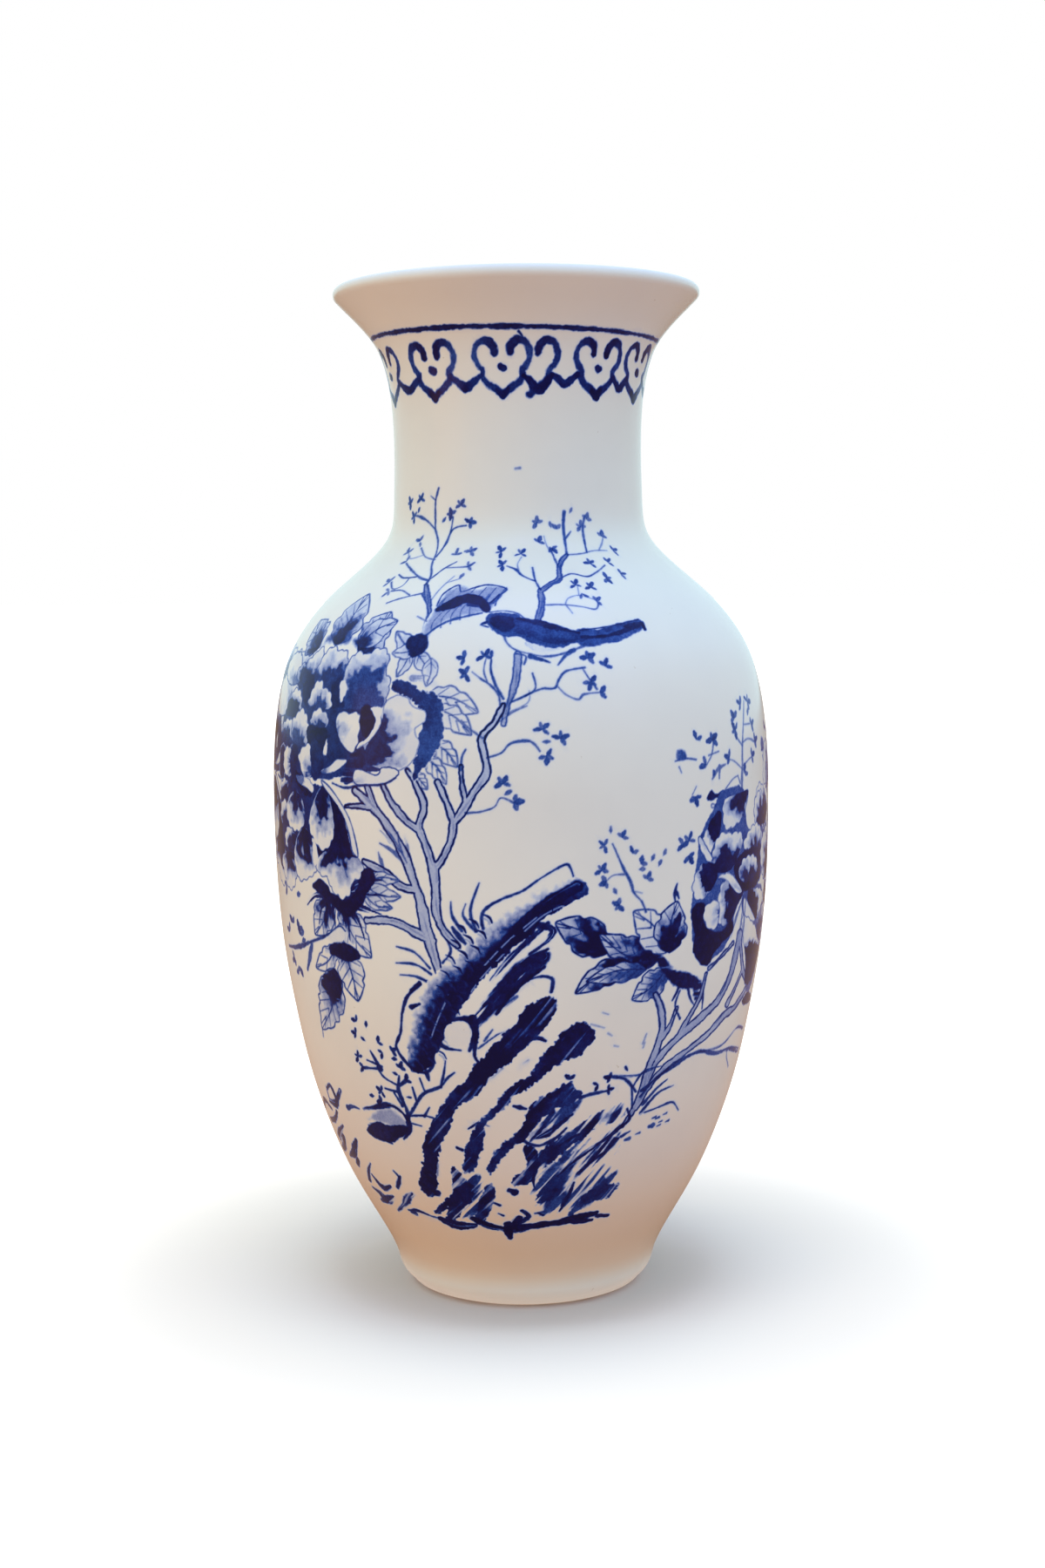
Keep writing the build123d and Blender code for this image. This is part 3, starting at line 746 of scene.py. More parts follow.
def peony_leaves():
    """Leaves above, below and to the right of the left peony."""
    leaves([
        ((-58, 234), (-67, 243), 13, 0.12), ((-51, 235), (-50, 252), 17, -0.05),
        ((-41.5, 233), (-36, 246), 15, -0.1),
    ], body=0.3, dark=0.8, line=0.7, veins=5, teeth=4, reach=0.46)
    leaf((-42, 235), (-32.6, 243), 9, 0.1, body=0.26, dark=0.7, line=0.66, veins=3, teeth=3, reach=0.4)
    for outline, tone in [
        ([(-66, 236), (-62, 240), (-57.6, 237), (-57.6, 233.4), (-61.6, 231.4)], 0.72),
        ([(-57, 235), (-55, 240), (-50, 242), (-45.6, 240), (-45, 235.6), (-50, 234.6)], 0.62),
        ([(-46, 236.4), (-43, 238.6), (-38.6, 238.6), (-38.6, 234), (-41, 232.6)], 0.85),
    ]:
        wash(outline, tone, soft=2.6)
    leaves([
        ((-20.5, 219), (-9, 213.6), 9, 0.1), ((-18.5, 215), (-10.4, 206.4), 8, 0.1),
        ((-19, 204), (-13.4, 196), 7, 0.1), ((-21, 199.6), (-15.8, 190.4), 6, 0.1),
        ((-23, 194), (-20, 188.6), 4.6, 0),
    ], body=0.04, line=0.55, teeth=4)


def left_peony():
    """The great open peony: ruffled petals round two hearts, the darkest between them."""
    wash([
        (-29.2, 224.6), (-25.6, 224), (-22, 221.8), (-17.8, 219.6), (-16, 213), (-16.2, 206.4),
        (-17.8, 201), (-20, 196), (-22.6, 191), (-24, 193), (-23.4, 199), (-22.6, 206), (-22, 212),
        (-25, 217), (-29.6, 220),
    ], 0.94, edge=0.8, soft=0.7, rough=1.1, cover=True)
    stroke([(-24.6, 224.6), (-21, 224.4), (-18, 221)], (2.5, 2.5, 1.2), 0.35, dry=0.35)
    upper_mass = [
        (-70, 214), (-66, 219), (-61, 224), (-56, 230), (-50, 231), (-44, 229), (-38, 230), (-33, 229),
        (-32, 220), (-31, 210), (-27, 198), (-33, 193.6), (-40, 192), (-47, 190), (-56, 190), (-66, 187),
        (-70.6, 190), (-70, 200),
    ]
    wash(upper_mass, 0.76, cover=True)
    lower_mass = [
        (-69, 187), (-60, 189), (-52, 188), (-47, 187), (-43, 180), (-41, 170), (-40, 163), (-46, 159),
        (-53, 160), (-61, 161), (-67, 162), (-69.6, 172),
    ]
    wash(lower_mass, 0.8, cover=True)
    # The outermost petals, far to the left and along the top.
    petal([
        (-62, 218), (-66, 223), (-72, 225), (-78, 222), (-80, 215), (-76, 210), (-68, 211),
    ], (-62, 214), 0.4, 0.3, line=0.6)
    petal([
        (-63, 222), (-64, 228), (-68, 232), (-74, 231), (-76, 226), (-70, 221),
    ], (-63, 221), 0.5, 0.3, line=0.6)
    petal([
        (-55, 222), (-54, 229), (-55.4, 234), (-58, 232.4), (-60.4, 230), (-65, 227), (-65, 223.4),
        (-60, 221),
    ], (-58, 218), 0.82, 0.62)
    petal([
        (-44.4, 220), (-43.8, 227), (-44.2, 231), (-46, 233.4), (-48.4, 233), (-50.4, 234.6),
        (-53, 233.4), (-54.4, 229.6), (-55.4, 223), (-50, 219),
    ], (-49, 219), 0.74, 0.66, 0.25)
    petal([
        (-32, 214.6), (-30.4, 219), (-30.2, 224), (-31.8, 227), (-31.4, 230.6), (-33, 233.8),
        (-36, 234.2), (-38, 232), (-41, 233), (-43.6, 229.6), (-44.2, 222), (-43.6, 214), (-38, 213.4),
    ], (-38.6, 212), 0.68, 0.66, 0.22)
    wash([
        (-60.4, 219.6), (-59, 224), (-55.6, 225.4), (-54.6, 220), (-55, 215), (-57.4, 213.4),
    ], 0.86, soft=0.8)
    wash([
        (-47.6, 222), (-44.6, 226), (-42.8, 220), (-42, 214.6), (-44.4, 213.4), (-47.4, 214),
    ], 0.86, soft=0.8)
    petal([
        (-47.6, 213.6), (-47, 217), (-48.4, 220), (-50.6, 220.6), (-51.6, 222.8), (-54, 222.6),
        (-55.4, 219), (-55.8, 214.4),
    ], (-51.6, 211.6), 0.72, 0.5, 0.25)
    wash([(-45.2, 222.6), (-43.6, 223.4), (-42.4, 220.4), (-43, 216.8), (-44, 216.6)], 0.03, cover=True)
    petal([
        (-59.4, 210.6), (-59.4, 215), (-60.6, 218.6), (-63.6, 219.8), (-66, 218), (-68.4, 213.4),
        (-68, 210.4),
    ], (-64.4, 211.6), 0.9, 0.8, 0.15)
    # The middle row.
    petal([
        (-62.6, 199.6), (-62, 205), (-63.6, 208.6), (-67, 209), (-70, 206.6), (-70.6, 201), (-67, 199),
    ], (-67, 201), 0.78, 0.8)
    petal([
        (-55.4, 201), (-54.8, 207), (-56.4, 211.4), (-59, 213.2), (-61.4, 211), (-63.4, 208.6),
        (-63.2, 203), (-60, 200.4),
    ], (-59, 200), 0.72, 0.58, 0.3)
    wash([
        (-55.6, 206), (-52, 209), (-48, 207), (-47.4, 202), (-49, 198.6), (-53, 199.6),
    ], NAVY, cover=True)
    petal([
        (-48, 207.6), (-47.4, 211), (-49.4, 212.8), (-51.4, 213.8), (-53.4, 212), (-54.4, 209),
        (-52, 207.4),
    ], (-50.6, 205), 0.8, 0.5, 0.2)
    stroke([(-48, 198.8), (-47.8, 202), (-48.6, 203.6)], (1.6, 1.8, 0.8), 0.0)
    wash([(-48.4, 201), (-47, 203.6), (-47, 199), (-48.4, 198.4)], 0.02, cover=True)
    wash([
        (-47, 205), (-46.4, 213), (-43, 213.6), (-37, 214), (-33, 213), (-33, 207), (-37, 201),
        (-42, 196.8), (-46.6, 196),
    ], 0.82, cover=True)
    petal([
        (-42.4, 202.6), (-39.4, 199.6), (-37.8, 202), (-37.4, 206), (-36.9, 211), (-38.4, 213.2),
        (-40.6, 212.6), (-43, 213.2), (-44.6, 211), (-44.2, 207),
    ], (-46, 204.6), 0.5, 0.25, 0.25, scallop=0.6)
    wash([
        (-37.2, 214.4), (-34.8, 215), (-33.2, 211.6), (-33.6, 207.4), (-35.6, 205), (-37, 207.6),
    ], NAVY, cover=True)
    stroke([
        (-34, 214.4), (-32.4, 213), (-32.2, 209.6), (-33.8, 205.4), (-36.8, 201.8),
    ], (2.4, 2.8, 2.6, 1.8, 1.2), 0.0)
    crescent = [
        (-34.4, 214.6), (-31.6, 214.6), (-31.8, 209), (-33.4, 204.8), (-36.8, 200.8), (-37.8, 201.6),
        (-35, 204.6), (-33, 208.8), (-33.2, 212),
    ]
    wash(crescent, 0.02, edge=0.4, cover=True)
    # The great bare petal on the right.
    petal([
        (-38.4, 199.6), (-34.4, 203.6), (-31.4, 209.6), (-30.8, 216), (-28.4, 218.8), (-25.4, 218.4),
        (-23.8, 215.4), (-21, 214.2), (-20.6, 210.8), (-23.2, 208), (-21.9, 203.8), (-22.8, 199),
        (-24.6, 196), (-27.4, 194.4), (-33, 195.4),
    ], (-35.6, 198.6), 0.84, 0.5, 0.18, scallop=0.3, line=0.35)
    # The row below it.
    wash([
        (-70.8, 199), (-67.4, 199.6), (-66.4, 194), (-67.4, 188.4), (-70, 188), (-71.6, 193),
    ], 0.85, soft=1, cover=True)
    petal([
        (-62.4, 190), (-61.8, 196), (-63.6, 199.4), (-66.8, 199), (-67.8, 194), (-66.4, 190),
    ], (-61, 194), 0.75, 0.4)
    wash([(-63.4, 199), (-59.6, 201), (-58.4, 195), (-60, 189), (-62.8, 190)], 0.82, soft=1)
    wash([
        (-60, 191.6), (-56, 190), (-52.6, 186), (-53, 183.6), (-56.6, 185), (-59.4, 188),
    ], NAVY, cover=True)
    petal([
        (-52.6, 193), (-51.8, 198), (-54, 201.4), (-57, 200), (-58.8, 196.8), (-57.4, 193.4),
        (-56.4, 190.6), (-53, 190.4),
    ], (-51.6, 192), 0.7, 0.38, 0.3)
    wash([
        (-53.4, 200), (-51.6, 203), (-48.6, 199.4), (-48.6, 193), (-50.6, 189.6), (-52.8, 191),
    ], 0.84, cover=True)
    wash([(-42.6, 189.6), (-40.6, 196), (-38, 199.6), (-35, 197), (-37, 193), (-39, 190)], 0.84, dry=0.2)
    petal([
        (-48.4, 192), (-44.6, 192.8), (-41, 195.8), (-40.8, 197.2), (-44, 197), (-46, 194.6), (-49, 193),
    ], (-49.6, 191.4), 0.5, 0.3, scallop=0.2, line=0.7)
    petal([
        (-38.6, 190.2), (-38, 194.2), (-35.2, 193.8), (-32, 192.6), (-30.8, 195.2), (-28, 195.2),
        (-26.6, 193.4), (-28.8, 190.8), (-31.6, 189.6), (-36, 189),
    ], (-40, 189.6), 0.4, 0.12, 0.1, scallop=0.1, line=0.7)
    stroke([(-45, 189), (-41, 187.8), (-36, 189), (-30.6, 189.6), (-27.4, 192)], (0.7, 0.8, 0.6), 0.75)
    # The lower flower.
    petal([
        (-66, 181.4), (-64.4, 186.6), (-66.6, 188.4), (-69.6, 186.4), (-69.8, 182),
    ], (-67, 183), 0.86, 0.85)
    petal([(-64.6, 172.4), (-64.4, 178.4), (-67, 181), (-69.8, 178.6), (-70, 173)], (-66, 174), 0.82, 0.7)
    petal([
        (-60.6, 163.8), (-61, 169.6), (-64, 172), (-67, 169.4), (-66.6, 164.6),
    ], (-62.6, 166), 0.86, 0.75)
    petal([
        (-62.6, 183.6), (-65.6, 179), (-64.8, 173.4), (-61.4, 171), (-57.6, 171.6), (-55.8, 176),
        (-56.4, 181.4), (-59.4, 184.8),
    ], (-59.4, 184), 0.9, 0.46, 0.3)
    petal([
        (-52, 184.8), (-54.6, 186.4), (-58, 187.6), (-60, 190), (-56, 190.4), (-52.6, 188.6),
    ], (-56, 188.4), 0.5, 0.2)
    wash([
        (-74, 166), (-70, 165), (-66, 160), (-62, 159), (-60, 162), (-66, 156), (-72, 157),
    ], 0.9, cover=True)
    petal([
        (-70.6, 160), (-68.6, 153), (-66, 149.8), (-63, 150.6), (-61, 155.4), (-60.2, 161.4), (-65, 163),
    ], (-65, 162.4), 0.9, 0.5)
    petal([
        (-61.8, 162), (-60.8, 156.4), (-59, 153.8), (-56.4, 154.6), (-54, 156), (-51.6, 158.6),
        (-52, 163), (-53.6, 170), (-56.4, 172.8), (-60, 168.6),
    ], (-56, 172), 0.95, 0.5, 0.25)
    wash([
        (-47.6, 186), (-44.4, 184.6), (-41.4, 180), (-40.6, 173.6), (-38.6, 167), (-38.8, 162.6),
        (-43, 161), (-47, 164), (-51, 161), (-52, 164), (-48, 170), (-45, 176),
    ], NAVY, cover=True)
    petal([
        (-51.4, 161.4), (-50.4, 157.6), (-47.6, 156.4), (-46.2, 152.6), (-43, 150), (-40.4, 152),
        (-39.6, 156), (-37.4, 157.8), (-36.2, 161.6), (-38, 165), (-42, 167), (-47.6, 166),
    ], (-43.6, 168), 0.95, 0.5, 0.2)
    petal([
        (-48.6, 187.8), (-52.4, 181), (-54, 174.6), (-52.6, 169.8), (-49.2, 165.8), (-46.2, 168),
        (-44.7, 172.6), (-44.9, 178), (-46, 184),
    ], (-48.4, 187), 0.96, 0.5, 0.2)
    rim = [
        (-48.8, 189.6), (-46, 187.6), (-42.6, 183), (-39.8, 177.4), (-38.2, 170.6), (-37.6, 165),
        (-39.2, 166.6), (-40, 172), (-41.6, 178), (-44.6, 183), (-48, 187.4),
    ]
    wash(rim, 0.04, edge=0.4, cover=True)
    stroke(rim, 0.55, 0.7, closed=True, halo=0)
    wash([(-52.8, 169), (-51.4, 168), (-51, 162), (-52.4, 161.4)], 0.02, cover=True)


def lower_leaves():
    """The leaves that hang under the left peony, dark where they leave the stem."""
    leaves([
        ((-35, 157), (-27, 158), 5, 0.1), ((-35.6, 155), (-26.8, 152.6), 6, -0.1),
        ((-36.6, 153), (-29, 148.6), 5, -0.15),
    ], body=0.12, line=0.6, veins=3, teeth=3)
    leaves([
        ((-43, 148), (-35.4, 131), 13, -0.12), ((-47.6, 150), (-54, 136), 12, 0.12),
    ], body=0.1, dark=0.9, line=0.7, reach=0.45)
    leaf((-43.6, 132), (-41, 115), 13, 0.05, body=0.08, dark=0.8, line=0.7, reach=0.36)
    leaf((-46, 133), (-55.4, 124), 8, 0.1, body=0.05, dark=0.5, line=0.66, veins=3, teeth=4, reach=0.25)
    leaf(
        (-47.6, 125), (-57.6, 101.6), 15, 0.12, body=0.12, dark=0.9, line=0.72, veins=5, teeth=6,
        reach=0.5,
    )
    twig([(-72, 128), (-64, 129.4), (-56, 133), (-49, 136.6), (-44, 141)], (1.4, 2, 1.4, 1.4), 0.7)
    wash([(-49, 136.4), (-44.6, 140.4), (-42.6, 139), (-44, 135), (-48, 134)], 0.04, cover=True)
    stroke([(-49, 136.4), (-44.6, 140.4), (-42.6, 139)], 0.6, 0.7)
    wash([
        (-53.4, 152.6), (-50.4, 155.4), (-47.6, 154), (-46, 151), (-43, 149.4), (-40, 151),
        (-38.4, 154.4), (-36.6, 161), (-33.6, 160.2), (-33.4, 156.6), (-35.6, 151.6), (-38, 147.6),
        (-41.6, 143.6), (-45, 146), (-49.6, 150),
    ], NAVY, edge=0.8)
    for middle, end in [
        ((-38, 156), (-30, 157.6)), ((-38, 152), (-29.6, 152.4)), ((-38, 148), (-32, 146)),
        ((-39, 144), (-37, 137)), ((-42, 143), (-41.4, 136)), ((-46, 146), (-46, 139)),
        ((-50, 147), (-52, 140)), ((-52, 150), (-56.4, 146)),
    ]:
        stroke([(-44, 150), middle, end], (3.4, 2.6, 0.7), 0.88, dry=0.34)
    wash([
        (-49, 133), (-46, 134.8), (-41.6, 134.8), (-38.6, 131.6), (-40, 129), (-45, 128.4), (-48.4, 130),
    ], NAVY, edge=0.8)
    wash([
        (-54, 119), (-50.6, 123.6), (-46.2, 122.6), (-46.4, 117), (-48.6, 113), (-52, 115.6),
    ], 0.94, edge=1.0, dry=0.12)
    sprigs([
        (-66, 137.6, 90, 2), (-62, 136, 60, 2), (-61, 134, 90, 2), (-69, 134, 120, 2),
        (-68, 124.6, 200, 3), (-64.6, 122, 250, 2), (-61, 132, 20, 1), (-59.6, 149, 190, 1),
        (-68, 150, 190, 2), (-66, 120.4, 200, 1),
    ], 3.2, 0.6)
    stroke([(-56, 132), (-58, 127), (-60, 122.4)], (2.2, 2.6, 1.4), 0.6, dry=0.2)
    stroke([(-57.6, 101.6), (-58, 98.6)], (1, 0.6), 0.5)


def peony_branches():
    """The outlined branches that carry the left peony."""
    branches([
        ([
            (-18.6, 128), (-19.6, 134), (-21, 142), (-22, 151), (-24, 160), (-26, 168), (-29, 175),
            (-32.4, 181), (-38, 187),
        ], (2.4, 4.2, 3.6, 3, 3.6, 3, 3, 2.4)),
        ([(-14, 137), (-16.6, 141), (-18.4, 147), (-18.6, 156), (-18.8, 163)], (1.6, 2.6, 3, 3.6)),
        ([
            (-18.8, 162), (-20.4, 170), (-22, 176), (-20.8, 183), (-22.6, 190), (-24.6, 194.6),
        ], (2.8, 2.6, 2.4, 2, 1.6)),
        ([(-21.6, 174.6), (-25, 178), (-28, 183), (-30.6, 189.4)], (2.4, 2.4, 1.8)),
        ([(-32, 180.4), (-33.6, 185), (-34.8, 189)], (2.2, 1.8)),
        ([(-33, 181.8), (-38, 182), (-41, 181.4)], (1.8, 1)),
        ([
            (-18.8, 162), (-16.8, 166), (-15, 172), (-14.4, 178), (-15.6, 184), (-17.6, 191),
        ], (2.4, 2.2, 2.6, 2, 1.8)),
        ([
            (-14.6, 177), (-12, 182.6), (-10, 187.6), (-7.2, 194), (-7.6, 200), (-8.2, 205.6),
            (-5.6, 210), (-3.6, 216),
        ], (2.2, 2.8, 2.4, 2, 1.8, 1.6)),
        ([(-11.6, 185), (-12.4, 191), (-12.6, 196)], (2, 1.6, 1.2)),
        ([(-19.8, 138), (-23.6, 141), (-29, 144), (-36, 143.6)], (3, 2.8, 2.4)),
        ([(-22.8, 155), (-27, 156.4), (-30, 160), (-36, 163.6)], (3, 2.4, 2)),
    ], fill=0.17, line=0.88, line_width=0.62)
    twig([(-12.6, 195), (-12.4, 199), (-11.6, 201.6)], (1, 0.7), 0.6)
    twig([(-8, 205.4), (-11, 208.6), (-12.6, 211)], (1, 0.7), LIGHT + 0.15)
    twig([(-11.6, 181), (-8.6, 181.4), (-5.6, 183), (-4.2, 186), (-1.6, 184.4)], (1, 0.8, 0.6, 1), MID)
    twig([(-7, 199), (-4, 200.6), (-2, 203.6), (2, 204.2), (4, 201)], (1, 0.8, 1.6, 0.8), MID)
    twig([(-4.4, 210.6), (-1.6, 213.6), (1.4, 215.6)], (0.8, 0.7), LIGHT + 0.1)
    sprigs([
        (-3.8, 190.6, 90, 4), (-1.4, 184.6, 0, 3), (-3.4, 187, 30, 1), (4.6, 208, 70, 4),
        (8.4, 205, 50, 4), (5.4, 199.4, -60, 4), (4.6, 204, 0, 1),
    ], 2.8, 0.58)
    for start, middle, end in [
        ((-25, 164), (-26.6, 169.4), (-27, 174)), ((-25.6, 163.6), (-28.4, 167.6), (-31.6, 170)),
        ((-26, 167), (-29.4, 172), (-31.4, 174.4)), ((-24.6, 166), (-25, 170), (-25.4, 172.6)),
        ((-30.6, 161), (-31.4, 164), (-32, 167)),
    ]:
        stroke([start, middle, end], (0.6, 1.6, 0.5), 0.55, dry=0.15)


def grass():
    for points in [
        [(-20.6, 129), (-24, 134), (-28.4, 135.6)], [(-20.4, 127), (-24, 130), (-28.8, 130)],
        [(-20, 123.4), (-24, 125.8), (-28, 126)], [(-9.8, 142), (-11, 149), (-9, 158)],
        [(-10, 142), (-12.6, 147), (-12, 151)], [(-13, 142), (-15, 147), (-15.2, 151.6)],
        [(-17.6, 131), (-15.6, 135), (-16.4, 139)],
    ]:
        stroke(points, (0.9, 1.0, 0.5), 0.72)
    stroke([(-15, 143), (-13.6, 140), (-12, 137.4)], (1, 1.8, 1), 0.75)


def rocks():
    """The standing garden rocks: long slanting slabs in a dry, dark brush."""
    slope = (0.62, 0.78)
    upper_edge = [
        (-30, 99), (-27.4, 108), (-24.6, 117), (-20.6, 126), (-15, 133.6), (-10, 140), (-5, 147),
        (0.6, 152.4), (5, 156.8), (10, 160),
    ]
    wash([
        (13, 158), (13.8, 154.4), (9.4, 150.4), (5, 146.4), (2.4, 142), (-2, 136.6), (-7, 129.4),
        (-11.4, 121), (-14.6, 114), (-17.4, 107.6), (-19.8, 101.6), (-22, 96), (-25.2, 92.6), (-28, 94.6),
        *upper_edge[1:],
    ], 0.98, soft=8.5, lean=slope, cover=True, rough=0.7, fade=upper_edge)
    stroke([(11.6, 156.4), (6, 151.6), (1.6, 146.6), (-4, 139.4)], (4, 5, 4, 2), 0.96, dry=0.12, edge=0.6)
    for start, middle, end in [
        ((9.6, 151), (4.6, 147.4), (0.4, 142)), ((3, 146.6), (-3, 139), (-8.6, 130)),
        ((-4, 134.6), (-9, 126.4), (-12.6, 119)), ((-16.6, 120), (-19.4, 112), (-21.6, 105)),
    ]:
        line = curve([start, middle, end])
        window = Window(line, 1.2)
        open_here = grain.at(window.x / 1.1, window.y / 1.1) > 0.4
        window.cover(smoothstep(0.5, 0.1, near(window, line, 1.0)[0]) * open_here, 0.42)
    for k in range(30):
        height = 97 + 1.75 * k
        angle = -26.0 + 0.44 * k + 2.4 * (k % 3)
        scale_mark = [(angle, height), (angle + 1.4, height - 1.0), (angle + 2.0, height - 2.8)]
        stroke(scale_mark, (0.3, 0.8, 0.4), 1.0, halo=0)
        line = curve([
            (angle + 0.4, height - 1.5), (angle + 1.2, height - 2.2), (angle + 1.5, height - 3.3),
        ])
        window = Window(line, 1.2)
        window.cover(0.35 * smoothstep(0.55, 0.15, near(window, line, 1.0)[0]), 0.66)
    outline = [
        (-8.4, 143), (-8.6, 147), (-7.4, 150), (-4, 153), (0, 155.4), (4, 159.6), (9, 163.8),
        (10.2, 162.6), (10.8, 160),
    ]
    stroke(outline, (1.1, 1.0, 0.8, 0.8, 0.7), 0.76)
    stroke([
        (-24.4, 122), (-27, 118), (-28.6, 112), (-29.4, 106), (-31.2, 101), (-30, 97), (-27.4, 93.4),
        (-24, 92.4), (-22, 95), (-21.4, 100),
    ], (1.4, 1.1, 1.0, 1.4, 1.2, 1.2, 1.1), 0.84)
    stroke([(-25.6, 121), (-23.4, 123.4)], (1.2, 1.8), 0.9)
    stroke([(-25.8, 115), (-23.8, 116.4)], (1.8, 1.2), 0.9)
    for points in [[(5.4, 144.6), (-0.6, 136), (-6, 127)], [(3, 141.4), (-3, 133), (-7, 125.6)]]:
        stroke(points, (1.6, 1.8, 0.8), 0.84, dry=0.35)
    stroke([(3.6, 144), (6.4, 142.4), (5.4, 139), (1.4, 134.6)], (3, 1.6, 1.2), 0.86, dry=0.2)
    # The second slab, thin and streaky, with a bare lobe in front.
    stroke([
        (4.4, 133.6), (0.4, 128.6), (-4, 122), (-7.6, 116), (-11.4, 109.4),
    ], (5, 8, 7, 5, 2.6), 0.9, dry=0.42, edge=0.6)
    stroke([(5.4, 136), (-0.6, 131), (-5.4, 124)], (1.2, 1.6, 1), 0.9, dry=0.2)
    stroke([(4.6, 130), (-2, 122), (-6, 114)], (1.4, 2, 1), 0.96, dry=0.3)
    stroke([(1, 125.6), (4, 126.8), (6.4, 125.6), (6.2, 121.6)], (0.7, 1.1, 1.4), 0.82)
    stroke([(-1.4, 120), (-4, 117), (-6, 114)], (0.9, 1.6, 0.6), 0.7, dry=0.3)
    hollow = [
        (-18.4, 107), (-17, 110), (-14.4, 110.6), (-12, 108), (-12.4, 103.4), (-14.6, 101.6),
        (-17.6, 102.6),
    ]
    wash(hollow, 0.02, cover=True)
    stroke([
        (-19.6, 104.6), (-18.6, 109), (-16, 111.6), (-12.4, 111.8), (-11, 107), (-12.6, 101),
    ], (1.6, 1.2, 2.2, 3, 1.6), 0.88, dry=0.1)
    stroke([(-20, 103.6), (-18, 101.6), (-14.6, 101)], (2.6, 1.4, 0.8), 0.86)
    stroke([(-11.4, 112), (-10.8, 106), (-11.4, 99), (-9, 95)], (3, 2.2, 1.6, 1), 0.92, dry=0.15)
    stroke([(-9, 104.6), (-7, 108.6)], (1.2, 0.6), 0.6, dry=0.3)
    stroke([(-10.4, 102), (-6, 106.6), (-2.6, 109)], (1, 1, 0.6), 0.6, dry=0.35)
    slabs = [
        ([
            (6.6, 119.6), (7.4, 115.6), (4, 108), (0, 103), (-3.7, 97), (-8, 92), (-12, 85), (-16.7, 81),
            (-19.3, 74), (-22, 66), (-24.7, 59), (-26.7, 50), (-29.6, 45), (-32.7, 49), (-29.3, 57),
            (-27.6, 66), (-24, 73.6), (-20.7, 80), (-17.3, 86), (-13.3, 91.4), (-10.7, 97), (-6.7, 103),
            (-2.7, 109), (0, 114.6), (3, 118),
        ], 0.05),
        ([
            (9.4, 108.6), (12.7, 110.6), (15.6, 108), (16.2, 104), (13.3, 99), (8, 96), (2.7, 90.4),
            (-2.7, 85.4), (-5.3, 80), (-8, 77.4), (-10.4, 73), (-11.3, 65.6), (-13.6, 59), (-16.9, 56),
            (-16.4, 63), (-13.5, 71), (-10.7, 77), (-6.7, 82.4), (-2.7, 88.4), (1.3, 92.4), (4, 98),
            (6.7, 104),
        ], 0.05),
        ([
            (11.3, 89.8), (13, 87.4), (15, 85.4), (11.3, 82), (6.7, 79), (2.7, 75), (0.7, 70.4),
            (-4, 65.4), (-7.3, 59.4), (-9.5, 55.4), (-10.2, 59), (-8, 64.4), (-4, 69.4), (0, 75.4),
            (1.3, 80), (4, 84), (8.6, 88),
        ], 0.08),
        ([
            (0, 66.6), (2.8, 65), (3.4, 58.4), (1.4, 53.6), (-2.9, 52), (-2.4, 55), (0.6, 58.4),
            (0.4, 63),
        ], 0.08),
        ([
            (22, 79.8), (25.3, 79.8), (26.2, 76), (22, 73), (16.7, 70), (12, 66), (6.7, 60.4), (2.7, 57),
            (0.9, 58.6), (3.3, 64), (8, 68), (12, 72.6), (16.7, 77),
        ], 0.32),
        ([
            (25.6, 68), (24.4, 62), (18.7, 58.6), (14.7, 54.6), (10.7, 48), (5.3, 44.6), (3.1, 46),
            (5.3, 51.4), (9.3, 56.4), (13.3, 61), (17.3, 64.6), (21.3, 67.4),
        ], 0.36),
        ([
            (28.7, 49), (26.7, 45), (23.3, 44.6), (18.7, 43), (14, 39), (16.6, 45.6), (20, 49.6),
            (22.3, 53.4), (24.6, 50.4),
        ], 0.1),
        ([
            (-20.4, 57.4), (-18, 54), (-15.6, 48), (-19.4, 42), (-24, 36.4), (-26, 36), (-24.4, 42),
            (-21, 50),
        ], 0.12),
        ([(-9.6, 52), (-10, 45), (-13, 38), (-16, 36.6), (-14.4, 42), (-12.2, 48)], 0.1),
        ([(-26, 40), (-30, 38.4), (-28, 41.4), (-24, 44.4)], 0.1),
    ]
    scrubbed = [
        [
            (8, 60), (14, 68), (22, 74), (26.6, 76), (26, 66), (21, 57), (12, 49), (5, 44), (2, 48),
            (3, 55),
        ],
        [(12, 40), (5, 40), (4, 46), (10, 51), (16, 57), (24, 60), (28, 52), (24, 44)],
        [(0, 74), (8, 83), (16, 86), (19, 84), (12, 76), (5, 70), (1, 68)],
        [(-13, 56), (-18, 56), (-23, 42), (-19, 37), (-13, 41), (-11, 49)],
    ]
    for outline in scrubbed:
        wash(outline, 0.88, dry=0.72, lean=slope, rough=1.2)
    for outline, dry in slabs:
        wash(outline, 0.97, edge=0.6, dry=dry, lean=slope, rough=1.0)
    strokes([
        ([(-27, 62), (-28.4, 55), (-30.6, 49)], (1.2, 2, 1)), ([(-24.6, 62), (-25.6, 54)], (1, 1.6, 1)),
    ], 0.4, dry=0.4)
